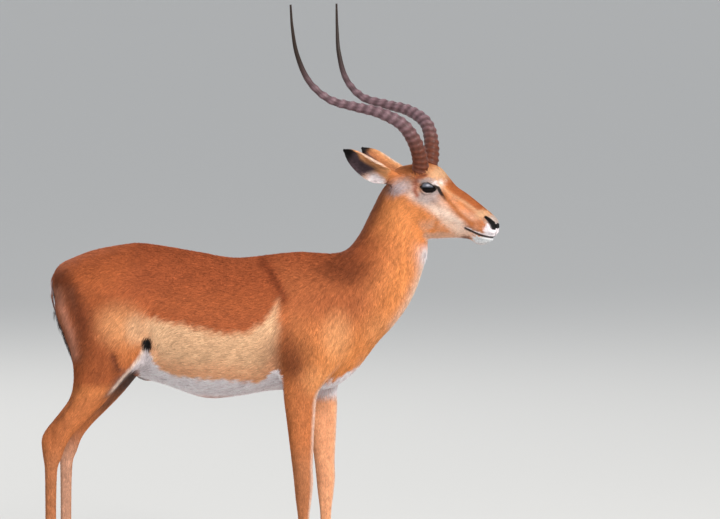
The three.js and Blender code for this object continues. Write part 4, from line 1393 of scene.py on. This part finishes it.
def nearest_on(tree, points):
    """For each point the nearest place on the skin and the normal there."""
    spots = np.empty_like(points)
    normals = np.empty_like(points)
    for i, p in enumerate(points.tolist()):
        spot, normal, _, _ = tree.find_nearest(p)
        spots[i] = spot
        normals[i] = normal
    return spots, normals


def region(points):
    """The number of the coat piece that each place belongs to."""
    x, _, z = squared(points).T
    left = points[:, 1] > 0
    on_head = share_on_head(points) > 0.5
    places = [on_head, (z < 470) & (x > -150), z < 470, x < -300, x < 20, z < 760 - (x - 150) * 0.2]
    number = np.select(places, range(len(places)), len(places))
    return 2 * number + np.where(on_head, to_head(points)[:, 1] < 0, left)


REGIONS = ["head_left", "head_right"]
for part in ("foreleg", "hindleg", "rump", "barrel", "shoulder", "neck"):
    REGIONS += [f"{part}_{side}" for side in HANDS]


class Surface:
    """The skin's triangles, and what they carry: places, normals, colours and spots on the unwrap."""

    def __init__(self, ob):
        mesh = ob.data
        self.points, self.normals = points_of(mesh), normals_of(mesh)
        self.colours = read(mesh.color_attributes["coat"].data, "color", 4)[:, :3].astype(float)
        self.corners, self.loops = triangles_of(mesh)
        self.uv = unwrapped(ob)
        a, b, c = (self.points[self.corners[:, k]] for k in range(3))
        self.area = np.linalg.norm(np.cross(b - a, c - a), axis=1) / 2
        self.middle = (a + b + c) / 3
        self.facing = unit(self.normals[self.corners].sum(1))

    def scattered(self, count):
        """Random places, `count` of them in each triangle on average: place, normal, colour, unwrap."""
        run = np.cumsum(count)
        total = int(run[-1])
        at = (np.arange(total) + random.random(total)) * run[-1] / total
        triangle = np.minimum(np.searchsorted(run, at), len(run) - 1)
        r = random.random((total, 2))
        r = np.where(r.sum(1)[:, None] > 1, 1 - r, r)
        weight = np.stack([1 - r.sum(1), r[:, 0], r[:, 1]], 1)[..., None]

        def mixed(values, corners):
            return (values[corners[triangle]] * weight).sum(1)

        place, normal = mixed(self.points, self.corners), unit(mixed(self.normals, self.corners))
        return place, normal, mixed(self.colours, self.corners), mixed(self.uv, self.loops)


def lay_tufts(surface):
    """Short tufts all over the skin, lying along it, in one piece for each region."""
    length, width, _ = measures(surface.middle)
    on_legs = 1 - smoothstep(440, 600, surface.middle[:, 2])
    thin = 1 - 0.35 * share_on_head(surface.middle) - 0.3 * on_legs
    count = surface.area * LAYERS * thin * 2 / (length * width)
    count[bare(surface.middle)] = 0
    root, normal, colour, spots = surface.scattered(count)
    way = lie(root, normal)
    length, width, height = measures(root)
    length = length * random.uniform(0.75, 1.2, len(root))
    height = height * random.uniform(0.6, 1.15, len(root))
    tree = BVHTree.FromPolygons(surface.points.tolist(), surface.corners.tolist())
    end, end_normal = nearest_on(tree, root + way * length[:, None])
    tip = end + end_normal * height[:, None]
    side = np.cross(normal, way) * (width / 2)[:, None]
    sunk = root - normal * TUFT_SUNK
    ridge = root + (tip - root) * 0.12 + normal * (0.16 * width)[:, None]
    shapes = np.stack([sunk + side, sunk - side, ridge, tip], 1)
    tone = random.normal(1, TUFT_TONE_SPREAD, (len(root), 1, 1))
    tinted = colour[:, None] * tone * np.array(TUFT_ROOT_SHADE_TIP_LIGHT)[None, :, None]
    shading = unit(normal + end_normal)
    number = region(root)
    pieces = []
    for k in np.unique(number):
        at = np.flatnonzero(number == k)
        pieces.append(coat_mesh("coat_" + REGIONS[k], shapes[at], TUFT_FACES, TUFT_UNDERSIDE, shading[at],
                                tinted[at], TUFT_UV, spots[at]))
    return pieces


# A bent strand of ten faces: rings at its root and half way, each of left, right and ridge, and its tip.
STRAND_FACES = np.array([(0, 3, 4), (0, 4, 1), (3, 6, 4), (0, 1, 2), (0, 2, 5), (0, 5, 3), (2, 1, 4),
                         (2, 4, 5), (3, 5, 6), (5, 4, 6)])
STRAND_UNDERSIDE = (0, 1, 2, 3)
# Each strand darker at its root and lighter at its tip: painted shade and painted light for depth in the
# coat.
STRAND_ROOT_SHADE_TIP_LIGHT = [0.8, 0.8, 0.85, 0.95, 0.95, 1, 1.1]
STRAND_TONE_SPREAD = 0.1
STRAND_UV = PATCH * np.array([(-1, -1), (1, -1), (0, -2 / 3), (-2 / 3, 0), (2 / 3, 0), (0, 0.2), (0, 1)])
STRAND_SUNK = 0.5
STRAND_STRAY = 0.09


def lay_strands(surface, name, mask, per_square, length, width, ways, colour=None):
    """Longer bent strands where mask is true. ways(places, normals) gives how they start and how they end."""
    chosen = mask(surface.middle, surface.facing)
    root, normal, own, spots = surface.scattered(surface.area * chosen * per_square)
    start, end = (unit(way + random.normal(0, STRAND_STRAY, way.shape)) for way in ways(root, normal))
    half = (length * random.uniform(0.7, 1.15, len(root)) / 2)[:, None]
    across = unit(np.cross(normal, start))
    ridge = unit(np.cross(start, across))
    middle = root + start * half
    tip = middle + end * half
    rings = []
    for centre, girth in ((root - normal * STRAND_SUNK, width), (middle, width * 0.8)):
        rings += [centre + across * girth / 2, centre - across * girth / 2, centre + ridge * girth * 0.4]
    shapes = np.stack([*rings, tip], 1)
    base = own if colour is None else np.tile(colour, (len(root), 1))
    tone = random.normal(1, STRAND_TONE_SPREAD, (len(root), 1, 1))
    tinted = base[:, None] * tone * np.array(STRAND_ROOT_SHADE_TIP_LIGHT)[None, :, None]
    shading = unit(normal + ridge)
    return coat_mesh(name, shapes, STRAND_FACES, STRAND_UNDERSIDE, shading, tinted, STRAND_UV, spots)


def on_tail_hair(points, normals):
    share, on = tail_places(points)
    return on & (share > 0.3)


def tail_ways(points, normals):
    down = down_tail(tail_places(points)[0])
    return down + 0.12 * normals, down - 0.02 * normals


def in_ear(hand):
    def mask(points, normals):
        share, on, side = ear_places(points)
        facing = (turn_to_head(normals) * ear_rows(hand, share)[2]).sum(1)
        return on & (side == hand) & (facing > 0.2) & (share > 0.2) & (share < 0.6)

    return mask


def ear_ways(hand):
    def ways(points, normals):
        _, along, out, cross = ear_rows(hand, ear_places(points)[0])
        start = along * 0.9 + out * 0.45
        return turn_to_body(start), turn_to_body(along + out * 0.15 - hand * cross * 0.35)

    return ways


def on_upper_lid(hand):
    def mask(points, normals):
        head = to_head(points)
        share = eye_share(head, hand)
        _, across, offset = eye_view(head, hand)
        close = np.linalg.norm(offset, axis=1) < EYE_RADIUS + 9
        return close & (share > 1.04) & (share < 1.13) & (across > 3) & (offset[:, 1] * hand > 4)

    return mask


def lash_ways(hand):
    def ways(points, normals):
        _, _, offset = eye_view(to_head(points), hand)
        outwards = unit(offset * (1, 1, 0.6))
        start = outwards + (0, 0.6 * hand, 0.05)
        end = outwards + (0, 0.9 * hand, -0.55)
        return turn_to_body(start), turn_to_body(end)

    return ways


def horn_gaps(points):
    """Distance from the axis of the nearer horn's root, in the head's frame."""
    return along_line(mirrored_head(points), HORN_LINE[:3])[0]


def on_horn_root(points, normals):
    return (horn_gaps(points) < HORN_COLLAR) & (points[:, 2] > 1040)


def horn_root_ways(points, normals):
    hand = np.sign(to_head(points)[:, 1])[:, None]
    up = turn_to_body(np.concatenate([0 * hand + 0.1, 0.36 * hand, 0 * hand + 1], 1))
    share = smoothstep(HORN_COLLAR, 20, horn_gaps(points))[:, None]
    upright = random.uniform(0.1, 0.8, share.shape) * share
    flat = lie(points, normals)
    return up * upright + flat * (1 - upright) + 0.25 * normals, up * upright + flat * (1 - upright)


def on_coronet(points, normals):
    """Just above the claws, whose upper edges this hair covers."""
    low = coronet_height(points)
    return (low > 1.5) & (low < 8) & (points[:, 2] < 90) & (normals[:, 2] > -0.6)


def coronet_ways(points, normals):
    outwards = unit(normals * (1, 1, 0))
    return outwards * 0.75 + (0.3, 0, -1), outwards * 0.3 + (0.35, 0, -1)


def on_gland(points, normals):
    return (near(squared(points), GLAND_PLACE, (14, 16, 24)) > 0.35) & (normals[:, 0] < -0.2)


def gland_ways(points, normals):
    return normals * 0.6 + (-0.2, 0, -1), normals * 0.1 + (0, 0, -1)


# Each kind of strand: name, where it grows, strands per square millimetre, length, width, how it lies, and
# its colour where that isn't the skin's.
STRANDS = [
    ("coat_tail", on_tail_hair, 0.08, 30, 1.2, tail_ways),
    ("coat_glands", on_gland, 0.12, 17, 1.2, gland_ways, PALETTE["black"]),
    ("coat_coronets", on_coronet, 0.5, 11, 1.0, coronet_ways),
    ("coat_horn_roots", on_horn_root, 0.34, 11, 0.9, horn_root_ways),
]
for side, hand in HANDS.items():
    STRANDS += [
        ("coat_ear_" + side, in_ear(hand), 0.06, 15, 0.8, ear_ways(hand)),
        ("coat_lashes_" + side, on_upper_lid(hand), 0.55, 12, 0.55, lash_ways(hand), PALETTE["black"]),
    ]


def lay_coat():
    surface = Surface(skin)
    return lay_tufts(surface) + [lay_strands(surface, *strands) for strands in STRANDS]


coat = lay_coat()

# ---------------------------------------------------------------- eyes

EYE_GRID = (72, 48)
EYE_PIECE_RADIUS = EYE_RADIUS - 0.3
# sky is a painted reflection of the sky over the eyeball's upper part, and glint a painted highlight within
# it.
EYE_COLOURS = {
    "white": (0.06, 0.045, 0.038),
    "iris": (0.007, 0.004, 0.004),
    "pupil": (0.003, 0.003, 0.004),
    "sky": (0.14, 0.145, 0.175),
    "glint": (0.42, 0.42, 0.48),
}


def eye_piece(side, hand):
    """The eyeball: a dark iris, a long level pupil, a painted reflection of the sky over its upper part and a
    painted highlight in it.
    """
    around = np.linspace(0, 2 * np.pi, EYE_GRID[0], endpoint=False)[None]
    down = np.linspace(0, np.pi, EYE_GRID[1] + 2)[1:-1, None]
    outwards = unit(np.array([0.15, 1, 0.04]) * (1, hand, 1))
    level = unit(np.cross(outwards, (0, 0, 1)))
    above = np.cross(level, outwards)
    circle = level * np.cos(around)[..., None] + above * np.sin(around)[..., None]
    rings = outwards * np.cos(down)[..., None] + circle * np.sin(down)[..., None]
    points, faces = tube(rings * EYE_PIECE_RADIUS)
    points[-2:] = unit(points[-2:]) * EYE_PIECE_RADIUS
    ob = mesh_object("eye_" + side, from_head(points + EYE_CENTRE * (1, hand, 1)), faces)
    along, up = points @ level, points @ above
    front = points @ outwards > 0
    layer = np.tile(EYE_COLOURS["white"], (len(points), 1))
    masks = {
        "iris": front * (1 - smoothstep(15.0, 16.5, np.hypot(along, up))),
        "pupil": front * (1 - smoothstep(0.85, 1.1, np.hypot(along / 10.5, (up - 1) / 5.0))),
        # Painted reflection of the sky over the upper part, and a painted highlight.
        "sky": front * smoothstep(0.0, 5.0, up + 0.5) * (1 - smoothstep(13, 17, np.abs(along))),
        "glint": front * (1 - smoothstep(0.4, 1.6, np.hypot(along / 4.5, (up - 6.5) / 2.4))),
    }
    for name, mask in masks.items():
        layer += (np.array(EYE_COLOURS[name]) - layer) * mask[:, None]
    store_colour(ob.data, layer)
    return ob


eyes = {side: eye_piece(side, hand) for side, hand in HANDS.items()}

# ---------------------------------------------------------------- horns

HORN_RADIUS = {"base": 21.5, "tip": 2.5}
HORN_TAPER = 1.15
HORN_GRID = (420, 48)
RINGED_SHARE = 0.74
RING_SPACING = {"base": 12, "last": 31}
RING_HEIGHT = {"front": 2.6, "back": 1.2}
RING_SLANT = 3.5
FLUTES = {"count": 9, "depth": 0.25}
STREAKS = {"count": 7, "strength": 0.12}
HORN_COLOURS = {
    "base": (0.115, 0.028, 0.012),
    "middle": (0.145, 0.078, 0.092),
    "upper": (0.022, 0.011, 0.007),
    # crest is a painted highlight on the rings' crests; the next colour is painted shade in the grooves
    # between them.
    "crest": (0.230, 0.145, 0.160),
    "groove_shade": (0.035, 0.020, 0.018),
}


def carried_frame(line):
    """Directions along the line, to its front and to its side, carried along without twisting."""
    along = unit(np.gradient(line, axis=0))
    front = np.empty_like(along)
    ahead = np.array([1.0, 0, 0])
    for i, way in enumerate(along):
        ahead = unit(ahead - (ahead @ way) * way)
        front[i] = ahead
    return along, front, np.cross(along, front)


def horn_piece(side, hand):
    count, sides = HORN_GRID
    line = centripetal(np.array(HORN_LINE) * (1, hand, 1), count)
    _, front, across = carried_frame(line)
    run = np.concatenate([[0], np.cumsum(np.linalg.norm(np.diff(line, axis=0), axis=1))])[:, None]
    angle = np.linspace(0, 2 * np.pi, sides, endpoint=False)[None]
    t = run / run[-1]
    taper = HORN_RADIUS["tip"] + (HORN_RADIUS["base"] - HORN_RADIUS["tip"]) * (1 - t) ** HORN_TAPER
    slanted = np.clip(run + RING_SLANT * np.cos(angle), 0, None)
    reach = RINGED_SHARE * run[-1]
    growth = (RING_SPACING["last"] - RING_SPACING["base"]) / reach
    turns = np.log1p(slanted * growth / RING_SPACING["base"]) / growth
    crest = (0.5 + 0.5 * np.cos(2 * np.pi * turns)) ** 1.6
    fade = (1 - smoothstep(0.8, 1.0, slanted / reach)) * smoothstep(0, 12, run)
    share = RING_HEIGHT["back"] + (RING_HEIGHT["front"] - RING_HEIGHT["back"]) * (0.5 + 0.5 * np.cos(angle))
    flutes = np.cos(FLUTES["count"] * angle + 2 * np.sin(run / 40)) * (1 - smoothstep(0.6, 0.9, t))
    radius = taper + 0.9 * fade * share * (crest - 0.5) + FLUTES["depth"] * flutes
    spokes = front[:, None] * np.cos(angle)[..., None] + across[:, None] * np.sin(angle)[..., None]
    points, faces = tube(line[:, None] + spokes * radius[..., None])
    ob = mesh_object("horn_" + side, from_head(points), faces)
    tone = np.tile(HORN_COLOURS["middle"], (count, sides, 1))

    def tint(name, mask):
        return tone + (np.array(HORN_COLOURS[name]) - tone) * mask[..., None]

    tone = tint("base", smoothstep(0.30, 0.12, t) * np.ones_like(angle))
    tone = tint("upper", smoothstep(0.55, 0.8, t) * np.ones_like(angle))
    # Painted highlight on the crests of the rings and painted shade in the grooves between them.
    tone = tint("crest", 0.5 * fade * crest * smoothstep(0.1, 0.3, t))
    tone = tint("groove_shade", 0.45 * fade * (1 - crest) ** 3 * smoothstep(-0.1, 0.25, t))
    streaks = np.cos(STREAKS["count"] * angle + 5 * np.sin(run / 23))
    tone = tone * (1 + STREAKS["strength"] * streaks)[..., None]
    ends = np.stack([tone[0].mean(0), tone[-1].mean(0)])
    store_colour(ob.data, np.concatenate([tone.reshape(-1, 3), ends]))
    return ob


horns = {side: horn_piece(side, hand) for side, hand in HANDS.items()}

# ---------------------------------------------------------------- claws

CLAW = {"length": 58, "width": 21, "splay": math.radians(4), "apart": 10.5}
CLAW_OUTLINE = [(0, 22, 0.72), (0.1, 40, 0.94), (0.4, 60, 1), (0.6, 36, 0.92), (0.84, 17, 0.62), (1, 3, 0.2)]
CLAW_SECTION = [(-0.44, 0), (0.56, 0), (0.53, 0.5), (0.34, 0.94), (-0.09, 1), (-0.4, 0.9), (-0.43, 0.4)]
CLAW_INSET = 0.4
GROWTH_RINGS = {"spacing": 5.0, "height": 0.22}
HOOF_COLOUR = np.array([0.035, 0.026, 0.022])
HOOF_PALE = np.array([0.085, 0.062, 0.050])


def claw_form(hand):
    """One claw from its heel at the origin, with its outer side towards +Y for hand 1."""
    along, top, wide = cubic(CLAW_OUTLINE, 8).T[:, :, None]
    corners = np.array(CLAW_SECTION + CLAW_SECTION[:1])
    bow = cubic(corners[1:], 6)
    sole = np.linspace(corners[0], corners[1], 7)[:-1]
    section = np.concatenate([sole, bow[:-1]])
    x = along * CLAW["length"] + 0 * section[:, 0]
    y = hand * CLAW["width"] * section[:, 0] * wide
    z = top * section[:, 1]
    under = (CORONET["heel"] + CORONET["slope"] * x - z) / math.hypot(1, CORONET["slope"])
    ring = GROWTH_RINGS["height"] * np.cos(2 * np.pi * under / GROWTH_RINGS["spacing"])
    y = y * (1 - CLAW_INSET / CLAW["width"]) + np.sign(y) * ring * (section[:, 1] > 0.1)
    z = np.minimum(z, CORONET["heel"] + CORONET["slope"] * x - 0.4)
    return np.stack([x, y, np.maximum(z, 0.2)], 2)


def claw_pieces():
    made = {}
    for end, foot in FEET:
        heel = HEELS[end] + (STEPS[end] if foot > 0 else 0)
        middle = foot * FOOT_SIDE[end]
        for which, hand in (("inner", -foot), ("outer", foot)):
            points, faces = tube(claw_form(hand))
            turn = hand * CLAW["splay"]
            x = points[:, 0] * math.cos(turn) - points[:, 1] * math.sin(turn) + heel
            y = points[:, 0] * math.sin(turn) + points[:, 1] * math.cos(turn) + middle + hand * CLAW["apart"]
            name = f"{end}leg_{'left' if foot > 0 else 'right'}_claw_{which}"
            made[name] = mesh_object(name, np.stack([x, y, points[:, 2]], 1), faces)
            worn_pale = 0.3 + 0.3 * mottle(points, 0.06) + 0.5 * smoothstep(10, 0, points[:, 2])
            paler = np.clip(worn_pale, 0, 1)[:, None]
            store_colour(made[name].data, HOOF_COLOUR + (HOOF_PALE - HOOF_COLOUR) * paler)
    return made


claws = claw_pieces()

# ---------------------------------------------------------------- stage, light and camera

CAMERA_DISTANCE = 12
CAMERA_ELEVATION = math.radians(3.5)
FRAME_WIDTH = 1.8  # metres across the picture at the midline
TARGET = Vector((0.2225, MIDLINE, 0.851))
SENSOR = 36
FLOOR_SIZE = 3000
SKY_COLOUR = (0.93, 0.96, 1.0, 1)
SKY_STRENGTH = 0.72


def camera():
    data = bpy.data.cameras.new("camera")
    data.sensor_width = SENSOR
    data.lens = SENSOR * CAMERA_DISTANCE / FRAME_WIDTH
    made = added("camera", data)
    back = Vector((0, -math.cos(CAMERA_ELEVATION), math.sin(CAMERA_ELEVATION)))
    made.location = TARGET + back * CAMERA_DISTANCE
    made.rotation_mode = "QUATERNION"
    made.rotation_quaternion = (-back).to_track_quat("-Z", "Y")
    bpy.context.scene.camera = made


def area_light(name, place, size, power, colour):
    data = bpy.data.lights.new(name, "AREA")
    data.shape = "RECTANGLE"
    data.size, data.size_y = size
    data.energy = power
    data.color = colour
    made = added(name, data)
    made.location = place
    aim = Vector((0.05, 0, 0.8)) - Vector(place)
    made.rotation_mode = "QUATERNION"
    made.rotation_quaternion = aim.to_track_quat("-Z", "Y")


def principled(name, roughness=0.5, specular=0.5):
    material = bpy.data.materials.new(name)
    material.use_nodes = True
    shader = material.node_tree.nodes["Principled BSDF"]
    shader.inputs["Roughness"].default_value = roughness
    shader.inputs["Specular IOR Level"].default_value = specular
    return material, material.node_tree, shader


def floor():
    bpy.ops.mesh.primitive_plane_add(size=FLOOR_SIZE, location=(0, 0, 0))
    plane = bpy.context.object
    plane.name = "floor"
    material, _, shader = principled("floor", 0.9, 0.2)
    shader.inputs["Base Color"].default_value = (0.60, 0.595, 0.58, 1)
    plane.data.materials.append(material)


def world():
    made = bpy.data.worlds.new("studio")
    made.use_nodes = True
    sky = made.node_tree.nodes["Background"]
    sky.inputs["Color"].default_value = SKY_COLOUR
    sky.inputs["Strength"].default_value = SKY_STRENGTH
    bpy.context.scene.world = made


def painted(name, roughness, specular, grain, spread, bump_height):
    """The painted colour with a fine grain over it, which also makes a fine bump. Grain is per metre."""
    material, tree, shader = principled(name, roughness, specular)
    coat_paint = tree.nodes.new("ShaderNodeAttribute")
    coat_paint.attribute_name = "coat"
    place = tree.nodes.new("ShaderNodeTexCoord")
    noise = tree.nodes.new("ShaderNodeTexNoise")
    noise.inputs["Scale"].default_value = grain
    noise.inputs["Detail"].default_value = 3
    span = tree.nodes.new("ShaderNodeMapRange")
    span.inputs["To Min"].default_value = 1 - spread
    span.inputs["To Max"].default_value = 1 + spread
    vary = tree.nodes.new("ShaderNodeVectorMath")
    vary.operation = "SCALE"
    bump = tree.nodes.new("ShaderNodeBump")
    bump.inputs["Strength"].default_value = 0.3
    bump.inputs["Distance"].default_value = bump_height
    link = tree.links.new
    link(place.outputs["Object"], noise.inputs["Vector"])
    link(noise.outputs["Fac"], span.inputs["Value"])
    link(coat_paint.outputs["Color"], vary.inputs[0])
    link(span.outputs["Result"], vary.inputs["Scale"])
    link(vary.outputs["Vector"], shader.inputs["Base Color"])
    link(noise.outputs["Fac"], bump.inputs["Height"])
    link(bump.outputs["Normal"], shader.inputs["Normal"])
    return material


def worn(ob, material, slot, *nodes):
    ob.data.materials.clear()
    ob.data.materials.append(material)
    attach(ob, "root")
    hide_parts(*nodes)


FLESH = [n for n in frame["nodes"] if not n.startswith(("eye_", "horn_")) and "claw" not in n]
HAIR = painted("hair", 0.66, 0.13, 260, 0.16, 0.0008)
HORN = painted("horn", 0.48, 0.28, 420, 0.35, 0.0006)
HOOF = painted("hoof", 0.4, 0.4, 700, 0.3, 0.0004)
EYE = painted("eye", 0.05, 0.07, 900, 0.2, 0)

worn(skin, HAIR, "rufous_coat", *FLESH)
for piece in coat:
    worn(piece, HAIR, "rufous_coat", *FLESH)
for side in HANDS:
    worn(eyes[side], EYE, "eye", "eye_" + side)
    worn(horns[side], HORN, "horn", "horn_" + side)
for node, ob in claws.items():
    worn(ob, HOOF, "hoof", node)
for ob in (*eyes.values(), *horns.values(), *claws.values()):
    smooth_faces(ob)

camera()
area_light("key", (4.5, -6.2, 6.0), (3.6, 3.0), 800, (1.0, 0.97, 0.92))
area_light("fill", (-5.5, -4.5, 4.2), (4, 4), 60, (0.95, 0.97, 1.0))
area_light("rim", (-2.5, 6.0, 5.5), (4, 3), 180, (1.0, 0.98, 0.95))
floor()
world()
bpy.context.scene.view_settings.view_transform = "Standard"
